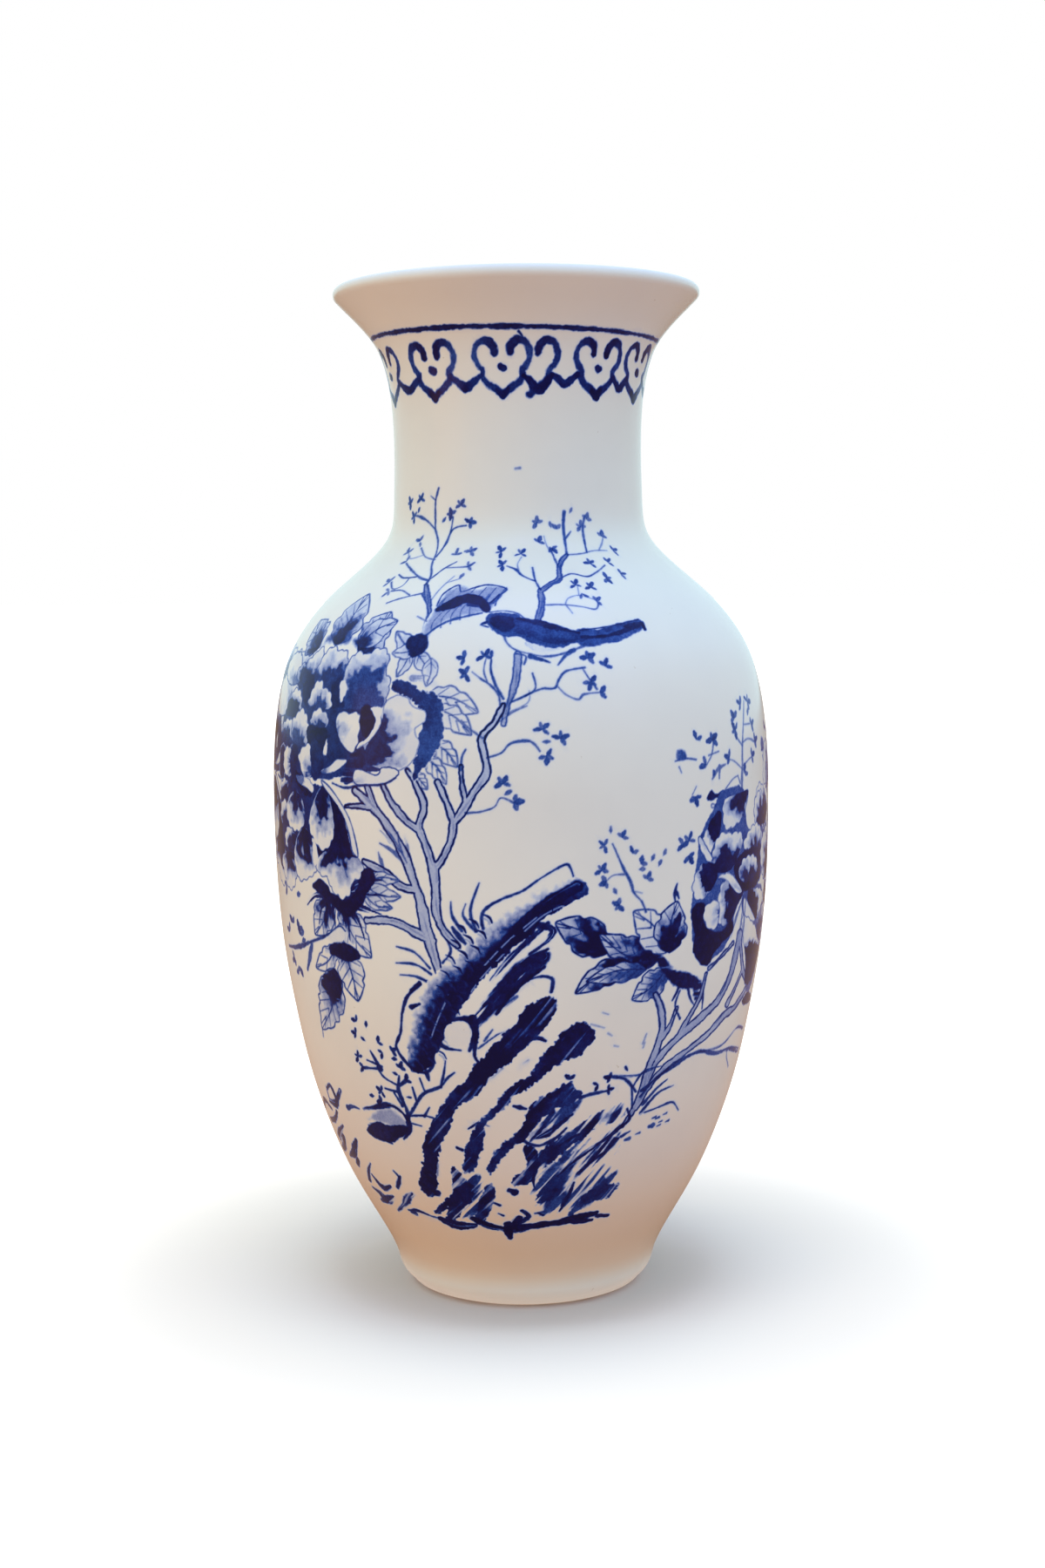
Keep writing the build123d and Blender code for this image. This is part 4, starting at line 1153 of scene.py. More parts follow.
    for points in [
        [(-8, 98), (-9.6, 92), (-13, 87)], [(-5, 95), (-8, 91.6), (-10, 90)], [(1, 98), (-1, 95.6)],
        [(5, 104.6), (3, 105.6), (1, 104.6)], [(-2.6, 81.6), (0.4, 80.6)], [(-12.6, 75), (-9, 74)],
        [(-14.4, 73), (-11.4, 76)], [(26.6, 78), (27.6, 74), (24.6, 71), (20, 67)],
        [(24.6, 70), (16, 63), (9, 55)], [(14, 52), (12.6, 46), (10.6, 41)], [(13, 48), (11, 43)],
        [(9, 50), (6, 44)], [(22, 63), (16, 57), (12, 50)], [(4, 62), (2.4, 55), (2.6, 51)],
        [(12, 78), (8, 74), (3, 70)], [(10, 76), (6, 71), (1, 69)], [(7, 65), (13, 70), (18, 72)],
    ]:
        stroke(points, (1.0, 1.8, 0.8), 0.86, dry=0.32)
    stroke([(-1, 71), (0.6, 68), (4, 67), (8, 69.6), (10.6, 73)], (0.9, 1.2, 1.2, 0.9), 0.8)
    wash([(0.6, 71), (3, 69), (6.4, 70), (7, 73.4), (3.6, 74.4)], 0.3, soft=1)
    for angle, height, size in [
        (-4, 49.4, 3), (-16.6, 51, 2.4), (-17.6, 65, 1.4), (-8.6, 44, 1.4), (-7.8, 39.8, 1),
        (-29, 57.6, 1.4), (4.6, 40, 1.2), (-28, 47, 2.6),
    ]:
        stroke([(angle - 0.6, height + 0.5), (angle + 0.8, height - 0.3)], (size * 0.7, size), 0.92)
    ground()


def ground():
    """The line that the rocks stand on."""
    stroke([(-42, 37), (-37, 37.4), (-32, 36), (-28, 35.6)], (1.0, 2.2, 1.4, 2.0), 0.85, dry=0.25)
    stroke([(-29, 36), (-26, 34.6), (-22, 34), (-17, 34.6)], (2.2, 4.4, 4.0, 2.0), NAVY, dry=0.06)
    stroke([
        (-17, 37.6), (-13, 35.4), (-9, 34.4), (-5, 33.8), (0, 34.8), (5, 35.6), (10, 36), (16, 37.4),
        (23, 38.6),
    ], (2.2, 3.2, 2.6, 4.2, 3.2, 2.8, 3.6, 3.2, 2.2), NAVY, dry=0.06)
    stroke([(-5.8, 36), (-5.8, 32.6), (-5.4, 30.4)], (3.2, 3.8, 2.2), NAVY)
    stroke([(-2, 38.6), (-3.4, 36.4), (-4.6, 35)], (2.4, 3.0, 2.0), NAVY, dry=0.15)
    stroke([(-1, 41.6), (1, 39), (-3, 36)], (1.4, 2, 2), 0.9, dry=0.1)
    stroke([(13, 36.4), (18, 36), (22, 36)], (1.4, 2.4, 1.2), 0.95)
    stroke([(24, 37.4), (27.6, 36.8)], (2, 1.6), 0.92)
    stroke([(3, 40.4), (6, 41)], (0.8, 1.4), 0.7)


def right_bushes():
    """Leaves and twigs between the rocks and the right peony."""
    leaf((18.6, 134), (7, 144.6), 13, -0.1, body=0.46, dark=0.9, line=0.9, reach=0.62)
    leaf((31, 130), (16.6, 140), 11, 0.12, body=0.34, dark=0.84, line=0.86, veins=6, reach=0.6)
    leaf((24, 130), (11.6, 120.6), 9, -0.1, body=0.36, dark=0.9, line=0.88, teeth=4, reach=0.6)
    leaf((28, 127), (14, 124.4), 7, -0.08, body=0.26, dark=0.62, line=0.84, veins=5, teeth=4, reach=0.5)
    leaf((33, 132), (24.4, 147), 13, -0.12, body=0.1, dark=0.1, line=0.7)
    leaf((34, 132), (35.6, 149), 14, 0.1, body=0.34, dark=0.86, line=0.85, reach=0.6)
    leaf((33.4, 126), (25, 117), 10, 0.08, body=0.2, dark=0.6, line=0.8, veins=5, reach=0.5)
    wash([(36.6, 147), (37.4, 142), (35.8, 137), (33.6, 133), (32.4, 138), (34.6, 143)], 0.88, soft=1)
    wash([
        (30, 133), (33, 130.6), (37, 125.6), (41, 123.6), (44.8, 121), (45.8, 116), (43, 113),
        (41.4, 117), (37.6, 118), (34, 121.6), (31, 127),
    ], 0.9, soft=1.2, dry=0.15)
    for points in [
        [(37, 124), (37.4, 119), (36, 115)], [(40, 122), (41, 116), (43, 112)],
        [(43, 120), (45.6, 116), (46.2, 110)], [(35, 149), (34.8, 152), (35.4, 155)],
        [(36, 150), (35, 153)],
    ]:
        stroke(points, (0.8, 1.4, 0.6), 0.8)
    twig([
        (27.4, 146.6), (26.4, 150), (24.4, 153.4), (23.6, 157), (22, 161.4), (20.6, 166), (19.4, 170),
    ], (1.2, 1, 1.3, 0.8, 0.7), MID)
    twig([(24, 154), (26.4, 153)], (0.8, 0.5), LIGHT)
    twig([(22.6, 159.6), (19.6, 159.6), (17.8, 157.4)], (0.8, 0.5), LIGHT + 0.1)
    sprigs([
        (17, 161.4, 90, 4), (18, 157.6, 200, 3), (17.6, 169.6, 170, 4), (21.6, 172, 60, 3),
        (24, 166.6, 60, 2), (26, 163, 30, 2), (28.6, 163.6, 60, 1), (27.6, 157.6, 60, 3),
        (21, 149.6, 190, 4), (25.6, 161, 0, 1), (19, 173.6, 90, 1), (20.4, 153.4, 120, 1),
        (30.4, 161.6, 60, 1), (31.6, 165, 60, 1),
    ], 2.4, 0.55)
    # Stems that rise to the right from the foot of the rocks.
    branches([
        ([
            (26, 72), (28.6, 78), (30.4, 85), (31.4, 92), (33, 99), (34, 106), (33, 112), (31, 118),
        ], (1.4, 2, 2.6, 2.6, 2.6, 2.4, 1.8)),
        ([(33.6, 101), (36, 106), (37.6, 112)], (1.8, 1.2)),
        ([
            (29, 78), (32.4, 86), (37, 92), (44, 96.4), (50, 100), (56, 105), (62, 107), (68, 112),
        ], (2, 2.4, 2.2, 2.8, 2)),
        ([
            (31, 86), (34, 95), (40, 102), (47, 107.4), (53, 112.6), (57, 121), (59, 133),
        ], (2, 2.4, 2.6, 3.4, 3, 3.6, 4)),
        ([(39, 101), (42, 108), (44.8, 114), (46, 122)], (1.8, 2, 1.6)),
        ([(59, 133), (61, 126), (64, 118.6), (70, 112.6)], (2, 2, 1.4)),
        ([(47, 124), (51, 127), (56, 131)], (1, 1, 1.4)),
        ([(57, 109), (60, 114), (63, 120)], (2.4, 2, 1.4)),
    ], fill=0.3, line=0.78, line_width=0.6)
    strokes([
        ([(30, 84), (38, 91), (47, 94.4), (55, 92), (64, 91), (73, 88)], (1.2, 1.6, 1.6, 2)),
        ([(48, 94), (58, 94), (66, 98), (73, 96)], (1, 1, 1.4)),
        ([(30, 82), (34, 88), (41, 91.6)], (1, 1.4, 0.7)),
        ([(31, 76), (35, 82), (40, 84)], (1.6, 1.2, 0.7)),
        ([(31, 79), (34.6, 84), (37.6, 86.6)], (1.4, 1, 0.5)),
        ([(32, 75.6), (37, 77), (41, 77.6), (44, 74)], (0.8, 1, 0.6)),
        ([(62, 91), (63, 88), (66, 84)], (1, 0.8)), ([(28.4, 84), (25, 89), (21, 90.6)], (0.8, 1, 1.3)),
        ([(27.4, 86), (30, 91), (35, 92)], (0.7, 0.8, 0.6)),
        ([(22, 90.4), (28, 90), (33, 91.6)], (1.4, 0.8, 0.6)),
        ([(14, 84), (17, 85), (21, 85.6)], (1.2, 1.4, 0.8)), ([(28, 78), (27, 86), (26, 88)], (0.8, 0.6)),
        ([(39, 108), (37, 113), (38, 118)], (0.9, 0.8)), ([(26, 68), (28.4, 69.4)], (1.4, 0.7)),
    ], 0.74, dry=0.12)
    sprigs([
        (21, 90, 160, 3), (18, 88, 200, 2), (20.6, 86, 0, 3), (25.4, 92, 120, 1), (11, 90.6, 90, 2),
    ], 2.2, 0.8)
    for angle, height, size in [
        (35, 70, 2.4), (35.4, 73, 1.2), (37.6, 69.6, 1.0), (39, 73.6, 1.0), (38, 71, 0.9),
        (40.4, 70.6, 1.1), (31, 68, 0.9), (28, 66.4, 1.4), (36.6, 72.6, 1.3),
    ]:
        stroke([(angle - 0.5, height), (angle + 0.6, height + 0.3)], (size * 0.6, size), 0.62)
    wash([(66.4, 107.6), (70, 110), (75, 108.6), (77, 105), (70, 104.6)], 0.92, soft=0.8)
    for start, end in [
        ((15.4, 109.6), (18.6, 108)), ((18, 113.4), (19.4, 112.6)), ((19.6, 106), (20.6, 105)),
        ((28.8, 101), (29.6, 104.4)), ((29, 99.6), (29.4, 101.4)), ((21.4, 101.4), (22.4, 101)),
    ]:
        stroke([start, end], (0.7, 0.5), 0.3, halo=0.03)


def right_peony():
    """The second peony, at the vase's right edge."""
    for points, width in [
        ([(57.4, 181), (58, 190), (58.6, 198), (60, 206), (62, 214)], (3, 2, 1.6, 1.2, 0.8)),
        ([(58, 191), (54.6, 194), (52, 195)], (0.9, 0.7)),
        ([(58.4, 192), (62, 194), (65, 195)], (0.8, 0.8)),
        ([(58.6, 199), (55.6, 203), (54.6, 207)], (1, 0.8)),
        ([(59, 200), (62, 201), (66, 199.6)], (0.9, 1)), ([(60, 206), (64, 206)], (0.7, 0.7)),
        ([(57, 186), (56, 188.6)], (0.9, 0.7)), ([(46, 189), (48, 192), (51, 193.4)], (1.4, 1.6, 0.7)),
        ([(48.6, 193), (48.4, 189)], (1.4, 0.9)), ([(43.6, 193), (46, 197), (47, 202)], (0.9, 0.8, 1)),
        ([(45, 197), (48.6, 198)], (0.8, 0.6)), ([(50.6, 185), (53.6, 188), (56, 189)], (0.8, 0.6)),
        ([(40.8, 187), (39.6, 184.4)], (0.6, 0.5)),
    ]:
        twig(points, width, 0.5)
    sprigs([
        (56, 204.6, 160, 4), (56, 208.6, 120, 3), (60, 213, 150, 3), (64, 213.6, 30, 4), (63, 209, 60, 1),
        (64.6, 205.6, 20, 3), (66, 200, 10, 3), (63.4, 195, 10, 3), (52.6, 195.6, 160, 3),
        (46.6, 202, 70, 4), (44, 194, 150, 2), (41.4, 202.6, 60, 2), (40.6, 183.6, -80, 3),
        (38.6, 169, 100, 4), (38.6, 164, -60, 3), (37, 168, 170, 2), (59, 189.6, 30, 2),
    ], 3, 0.62)
    wash([(34.6, 198), (35.4, 200.4), (37.4, 200.4), (38.6, 197.6), (37, 195.4), (35, 196)], 0.6, soft=1)
    twig([(35, 196), (38, 196.6), (41, 196)], (1, 0.8), 0.6)
    twig([(36, 194), (36.6, 192)], (0.9, 0.5), 0.5)
    wash([
        (43.6, 182.4), (45.4, 186), (47, 184.6), (51.4, 184.4), (49, 182.4), (46, 181.6),
    ], 0.85, soft=0.8)
    wash([(45.6, 188), (46, 192.6), (47.4, 191)], 0.6, soft=0.8)
    branches([([(46, 180), (48.6, 178), (49.6, 172)], (1, 1.6))], fill=0.1, line=0.5)
    flower_mass = [
        (49, 184), (58, 185), (59, 178), (61, 170), (66, 169), (71, 170), (73, 160), (70, 150), (60, 148),
        (56, 146), (55, 140), (54, 133), (48, 127), (42, 130), (40, 140), (40, 150), (41, 160), (42, 170),
        (46, 178),
    ]
    wash(flower_mass, 0.6, cover=True)
    right_mass = [(60, 148), (72, 148), (78, 130), (74, 112), (68, 112), (66, 122), (62, 134), (59, 142)]
    wash(right_mass, 0.6, cover=True)
    # Petals, the far ones first.
    petal([
        (64.6, 173), (65, 180), (68, 184.6), (72, 183), (75.6, 178), (77, 174), (72.6, 169.6), (68, 172),
    ], (72, 172), 0.92, 0.60)
    petal([(72, 185), (74, 197), (78, 199), (82, 194), (82, 186), (77, 184)], (80, 188), 0.5, 0.6)
    petal([(66, 170), (64.4, 176), (66, 181), (70, 182), (72.6, 176), (71, 170)], (70, 172), 0.9, 0.56)
    petal([
        (57.4, 183), (50.6, 181.6), (49.6, 177), (50.6, 171.4), (54.6, 172), (58.6, 175.4), (61, 183),
    ], (58, 183.4), 0.95, 0.58)
    petal([
        (48.8, 178), (45.6, 175.4), (43.4, 171), (42.4, 167.6), (44.6, 163), (46.4, 166.6), (48.6, 171),
    ], (47, 172), 0.96, 0.72, 0.12)
    petal([(41.6, 170.6), (44, 166), (46.6, 161), (45, 160.6), (42, 166)], (44, 166), 0.1, 0.3, line=0.6)
    petal([
        (46, 158), (46.6, 166), (49, 170), (53.6, 169.6), (57, 169.4), (58, 165), (53, 157),
    ], (51.6, 156), 0.95, 0.56, 0.2)
    petal([
        (46.6, 160), (42.8, 160.6), (40.6, 157), (39.8, 152), (42, 148.4), (45.6, 151), (48, 156),
    ], (45.4, 156), 0.94, 0.66, 0.15)
    petal([
        (58.6, 164), (62, 169.6), (66.6, 171), (70.6, 167), (71.6, 161), (66, 160),
    ], (66, 160), 0.92, 0.48)
    petal([(70, 158), (71, 165), (74.4, 167), (78, 162), (79, 152), (74, 150)], (78, 156), 0.9, 0.5)
    wash([
        (54.6, 155), (55.6, 160), (60, 162.6), (66, 162.6), (69.6, 159), (70.4, 152), (66, 148.6),
        (60, 148.6),
    ], 0.95, cover=True)
    petal([
        (56.6, 154.4), (58.4, 159.4), (62, 160.4), (65.6, 159.6), (67.6, 156), (66, 152.6), (60.6, 151),
    ], (62, 149.6), 0.92, 0.50)
    petal([
        (48.6, 142), (48.4, 148), (50.4, 153.6), (54.6, 152.6), (59.4, 148.6), (56.6, 144), (54, 139),
        (50, 138.4),
    ], (56, 146.4), 0.98, 0.69, 0.15)
    petal([
        (61.6, 147.4), (66, 148), (71.4, 147), (74.6, 143), (70, 137), (65, 138),
    ], (66.6, 142), 0.97, 0.64, 0.15)
    petal([(60, 146), (64, 141.6), (68, 136.6), (64, 136), (60.4, 140)], (60, 146), 0.1, 0.1, line=0.4)
    petal([
        (59.4, 139.4), (63.6, 138), (68.4, 134.6), (73, 130), (77, 122), (71, 113.6), (66, 114.6),
        (64.6, 122), (61.4, 131),
    ], (67.6, 125), 0.97, 0.68, 0.15)
    petal([(70, 133), (74, 140), (79, 140), (82, 132), (77, 126)], (73, 131), 0.8, 0.5)
    wash([
        (39.8, 143), (41, 146.8), (43.8, 146.4), (43.6, 141), (45.6, 137.4), (50, 135.8), (54.4, 138.8),
        (55.4, 135.5), (52, 133), (49, 130), (46.4, 125.6), (43, 127), (41, 131), (41.2, 137),
    ], NAVY, edge=0.8, cover=True)
    petal([
        (48.8, 139), (46.4, 137.6), (44.2, 140.6), (43.8, 145), (46.6, 147.4), (49, 146),
    ], (50, 142.6), 0.6, 0.25, 0.2)
    petal([(48, 155), (52.6, 156), (58.4, 149), (56, 148.6), (51, 154)], (58, 149), 0.2, 0.2, line=0.4)
    for start, middle, end in [
        ((60, 147.6), (57, 141), (54.6, 133)), ((59.6, 146), (59, 137), (58, 129)),
        ((58, 144), (55.6, 138), (53, 135.6)), ((61, 146), (60.6, 138), (61, 130)),
    ]:
        stroke([start, middle, end], (0.5, 1.6, 0.8), 0.45, dry=0.3)


def left_ground():
    """Stone, twigs and tufts at the lower left."""
    wash([
        (-47.6, 66), (-46, 69.4), (-42, 71.4), (-38, 70.4), (-33, 72), (-31, 71), (-33.4, 67.4),
        (-38, 64.6), (-42.6, 64),
    ], NAVY, edge=0.8)
    wash([(-46, 71), (-42, 75.6), (-36, 78), (-32.6, 76), (-31, 71), (-36, 70), (-41, 71)], 0.32, soft=2)
    stroke([
        (-46.4, 75), (-41, 77), (-36, 78.6), (-33, 77), (-31, 73.4), (-31.4, 70), (-34, 66.4),
    ], (1, 1.6, 2, 1.6, 2.2, 1), 0.88, dry=0.1)
    stroke([(-54, 73.6), (-51, 74.8), (-48.4, 74.6)], (2, 1.4, 0.7), 0.7)
    stroke([(-40.6, 64.4), (-38.6, 63.8)], (1, 0.7), 0.8)
    strokes([
        ([(-31.4, 72), (-31, 78), (-32.4, 84), (-31.6, 90)], (2.2, 1.6, 1.8, 1)),
        ([
            (-31, 75), (-28.6, 79), (-27, 82), (-24.8, 85), (-20.6, 87.6), (-18.4, 91), (-16.6, 93),
        ], (1.4, 1.2, 1.4, 0.9, 0.8)),
        ([(-27.6, 81.6), (-28.2, 86.4)], (1, 0.7)), ([(-24.8, 85), (-25.8, 90)], (0.9, 0.6)),
        ([(-24, 94), (-23.4, 89.6)], (0.6, 1.6, 0.8)),
        ([(-20.4, 87.6), (-19.4, 92), (-18.6, 97)], (1.2, 0.8, 0.6)),
        ([(-30.6, 75.6), (-26, 76.4), (-22, 75.4)], (0.8, 1.0, 0.6)),
        ([(-26, 76.2), (-24.2, 79.6)], (1.6, 0.5)), ([(-30.6, 73), (-27.4, 72.4)], (0.8, 0.6)),
        ([(-32, 79), (-34, 83.6)], (1.2, 0.8)), ([(-32.4, 84), (-36.6, 84.6)], (1, 0.8)),
        ([(-31.8, 86.6), (-29.6, 88.8)], (1.2, 1.6)),
        ([(-32.6, 86.6), (-36.4, 88.8), (-38, 92)], (0.8, 0.7)),
        ([(-37, 91.6), (-39.4, 97.6)], (1.6, 0.8)), ([(-36.6, 91.6), (-42.6, 91)], (0.9, 1.2)),
        ([(-36.4, 92.6), (-41, 94)], (0.8, 0.9)), ([(-16, 86), (-12.6, 88.6)], (0.8, 0.5)),
    ], 0.78)
    sprigs([
        (-38, 83.4, 180, 4), (-38.6, 79.6, 150, 2), (-31, 93, 60, 3), (-44, 94.6, 120, 4),
        (-42.8, 91, 180, 2), (-42.6, 107.6, 120, 2), (-43.4, 103, 160, 3), (-39.6, 106, 80, 1),
        (-36.6, 101, 30, 2), (-32.6, 98.6, 30, 3), (-35.6, 97.6, 200, 2), (-40.6, 101, 150, 1),
        (-30.4, 82.6, 0, 1), (-33, 96, 0, 1), (-29.8, 88.6, 30, 2), (-41, 81, 180, 1),
        (-33.4, 91, -20, 1),
    ], 2.2, 0.75)
    # Dark tufts, far left.
    strokes([
        ([(-66, 52), (-61, 54.4), (-58, 58), (-55.4, 61)], (1, 3.4, 3, 1.4)),
        ([(-62, 50), (-59.6, 52.4)], (2.4, 2)),
        ([(-65, 73), (-61, 73), (-58, 76.4), (-55.6, 79.6)], (2, 3.4, 1.8, 1.6)),
        ([(-64, 78), (-61, 80), (-59.6, 76)], (1.2, 1.4, 1.8)), ([(-65, 74), (-64.6, 78.6)], (1.2, 0.8)),
        ([(-61, 65), (-65, 62), (-70, 58)], (1, 2.6, 3)),
        ([(-62, 70), (-66, 66), (-72, 64)], (1.4, 2.4, 3)),
        ([(-64, 60), (-68, 55), (-72, 53)], (2, 3, 2)), ([(-66, 70), (-71, 72), (-75, 68)], (2, 2, 2)),
        ([(-52, 53), (-55, 49.6), (-57.6, 45)], (0.6, 1.6, 1.8)),
        ([(-58, 42), (-55, 41), (-53, 39)], (1.4, 2.4, 4.6)),
        ([(-54, 48), (-50.6, 44), (-46, 45.6)], (1, 2.6, 1.2)),
        ([(-56, 37.4), (-52, 38.6), (-47, 41)], (1.6, 4, 1.4)),
        ([(-48, 35.4), (-43, 39), (-39, 43), (-37, 44.6)], (1, 1.2, 3.4, 1.6)),
        ([(-42.6, 46), (-40.6, 49), (-39.6, 51)], (1.4, 2, 1.2)),
        ([(-41, 36.4), (-39, 36.2)], (1.2, 1.6)), ([(-41.6, 52.6), (-40, 50.6)], (0.8, 1.4)),
    ], 0.88, dry=0.14, edge=0.5)


def garden():
    """The whole scene, from its back layers to its front ones."""
    for motif in (
        left_tree, right_tree, perch, bird, peony_leaves, top_leaf_and_bud, peony_branches, lower_leaves,
        left_peony, grass, right_bushes, right_peony, left_ground, rocks,
    ):
        motif()


def side_peony():
    """The second peony again, on a stem of its own."""
    branches([
        ([
            (74, 66), (71, 76), (67, 88), (64, 100), (61, 112), (59, 124), (58, 136),
        ], (3, 3, 2.8, 2.8, 2.6, 2.4, 2)),
        ([(67, 88), (73, 96), (76, 106), (76, 116)], (2.2, 2, 1.8, 1.4)),
        ([(64, 100), (59, 105), (54, 108)], (1.8, 1.5, 1)),
    ], fill=0.3, line=0.78, line_width=0.6)
    for base, tip in [
        ((59, 105), (53, 97)), ((55, 108), (51.6, 118)), ((74, 98), (83, 94)), ((70, 81), (79, 78)),
        ((68, 86), (60, 82)),
    ]:
        leaf(base, tip, 9, 0.1, body=0.12, dark=0.7, line=0.72, reach=0.4)
    right_peony()


def all_round():
    """The same garden on both sides of the vase, with the flowers run on between them."""
    neck_ring()
    cloud_band()
    for turn, part in ((36, side_peony), (-28, left_peony), (180, garden), (0, garden)):
        sheet.turn = turn
        part()


# ---------------------------------------------------------------------------------------------
# The sheet over the outer glaze.

BLOCK = 8  # rows and columns of the largest square
STRIPS = 16
STRIP_COLUMNS = SHEET_COLUMNS // STRIPS
SHEET_BLOCKS = 167
GLAZE_THICKNESS = 0.3  # mm

outer_points = coat_points("outer_glaze", 1, -0.05)
tucked_edge = outer_points[0] + (-0.7 * GLAZE_THICKNESS, 0.7 * GLAZE_THICKNESS)
lengths, outline, facing = smooth_outline(
    np.vstack([tucked_edge, outer_points]), SHEET_BLOCKS * BLOCK + 1
)
sheet = Sheet(outline[:, 1], lengths, outline[:, 0])
grain = Grain(1, 0.3)
cloud = Grain(2, 1.2)
all_round()


# ---------------------------------------------------------------------------------------------
# The glaze's mesh: a quilt of squares, large where the paint is even and small where it isn't.

PAINT_STEP = 0.03  # cobalt strength that one square may stray from a blend of its corners
BEND_STEP = math.cos(math.radians(6))  # cosine of how far the outline may turn along one square
BAKE_LENGTHS = 3  # lengths that a strip is cut into on its bake texture
BAKE_MARGIN = 0.015
LINING_ROWS, LINING_COLUMNS = 320, 144


def unevenness(size):
    """How far the cobalt within each square of that size is from a blend of its corners."""
    ring = np.column_stack([sheet.cobalt, sheet.cobalt[:, :1]])
    rows, columns = ring.shape
    worst = np.zeros((rows // size, columns // size), np.float32)

    def corner(up, across):
        return ring[up : rows - size + up : size, across : columns - size + across : size]

    for up in range(size + 1):
        for across in range(size + 1):
            high, right = up / size, across / size
            blend = (corner(0, 0) * (1 - right) + corner(0, size) * right) * (1 - high)
            blend = blend + (corner(size, 0) * (1 - right) + corner(size, size) * right) * high
            worst = np.maximum(worst, np.abs(corner(up, across) - blend))
    return worst


def quilt():
    """The squares, as (size, first rows, first columns)."""
    waiting = np.ones((SHEET_BLOCKS, SHEET_COLUMNS // BLOCK), bool)
    patches = []
    for size in (8, 4, 2, 1):
        done = waiting.copy()
        if size > 1:
            straight = (facing[:-size:size] * facing[size::size]).sum(axis=1) > BEND_STEP
            done &= (unevenness(size) < PAINT_STEP) & straight[:, None]
        rows, columns = np.nonzero(done)
        patches.append((size, rows * size, columns * size))
        waiting = np.repeat(np.repeat(waiting & ~done, 2, axis=0), 2, axis=1)
    return patches


def corners_used(patches):
    """Which grid points are a corner of some square, and so belong to every square they touch."""
    used = np.zeros(sheet.cobalt.shape, bool)
    for size, rows, columns in patches:
        for up in (0, size):
            for across in (0, size):
                used[rows + up, (columns + across) % SHEET_COLUMNS] = True
    return used


def boundary(size):
    """Steps (rows up, columns across) once round a square, anticlockwise seen from outside."""
    run = range(size)
    bottom = [(0, k) for k in run]
    right = [(k, size) for k in run]
    top = [(size, size - k) for k in run]
    left = [(size - k, 0) for k in run]
    return np.array(bottom + right + top + left)


def bake_places(rows, columns, first_rows):
    """Where the points of one strip go on its texture: its lengths lie side by side there."""
    rows_each = -(-SHEET_BLOCKS // BAKE_LENGTHS) * BLOCK
    part = first_rows // rows_each
    across = columns / STRIP_COLUMNS
    up = (rows - part * rows_each) / rows_each
    u = (part + BAKE_MARGIN * 2 + (1 - 4 * BAKE_MARGIN) * across) / BAKE_LENGTHS
    return np.column_stack([u, BAKE_MARGIN + (1 - 2 * BAKE_MARGIN) * up])


def new_mesh_object(name, places, normals, corners, counts, material):
    """A smooth mesh object from points in mm, their normals and its faces' corners in turn."""
    mesh = bpy.data.meshes.new(name)
    mesh.vertices.add(len(places))
    mesh.vertices.foreach_set("co", (places * MM).ravel())
    mesh.loops.add(len(corners))
    mesh.loops.foreach_set("vertex_index", corners.astype(np.int32))
    mesh.polygons.add(len(counts))
    starts = np.concatenate([[0], np.cumsum(counts)[:-1]])
    mesh.polygons.foreach_set("loop_start", starts.astype(np.int32))
    mesh.update(calc_edges=True)
    mesh.shade_smooth()
    mesh.normals_split_custom_set_from_vertices(normals)
    mesh.materials.append(material)
    piece = bpy.data.objects.new(name, mesh)
    bpy.context.scene.collection.objects.link(piece)
    return piece


def turned(outline_places, outline_facing, rows, angles):
    """Points in mm and normals at some rows of an outline, turned to some angles in degrees."""
    around = np.radians(angles)
    direction = np.column_stack([np.sin(around), -np.cos(around)])
    places = np.column_stack([direction * outline_places[rows, :1], outline_places[rows, 1]])
    normals = np.column_stack([direction * outline_facing[rows, :1], outline_facing[rows, 1]])
    return places, normals


def glaze_strip(number, patches, used, material):
    """One lengthwise strip of the painted glaze."""
    first = number * STRIP_COLUMNS
    points, counts, texture = [], [], []
    for size, rows, columns in patches:
        here = (columns >= first) & (columns < first + STRIP_COLUMNS)
        rows, columns = rows[here], columns[here]
        steps = boundary(size)
        up = rows[:, None] + steps[:, 0]
        across = columns[:, None] + steps[:, 1]
        kept = used[up, across % SHEET_COLUMNS]
        points.append(np.column_stack([up[kept], across[kept] - first]))
        counts.append(kept.sum(axis=1))
        texture.append(np.repeat(rows, kept.sum(axis=1)))
    points, counts = np.vstack(points), np.concatenate(counts)
    across_strip = STRIP_COLUMNS + 1
    keys = points[:, 0] * across_strip + points[:, 1]
    found, corners = np.unique(keys, return_inverse=True)
    rows, columns = found // across_strip, found % across_strip
    places, normals = turned(outline, facing, rows, (first + columns) * CELL_ANGLE)
    name = f"glaze_strip_{number:02d}"
    strip = new_mesh_object(name, places, normals, corners.ravel(), counts, material)
    cobalt = strip.data.attributes.new("cobalt", "FLOAT", "POINT")
    strength = sheet.cobalt[rows, (first + columns) % SHEET_COLUMNS]
    cobalt.data.foreach_set("value", strength.astype(np.float32))
    layer = strip.data.uv_layers.new(name="OFBake")
    places_on_map = bake_places(points[:, 0], points[:, 1], np.concatenate(texture))
    layer.data.foreach_set("uv", places_on_map.ravel().astype(np.float32))
    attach(strip, "root")
    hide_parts("outer_glaze")


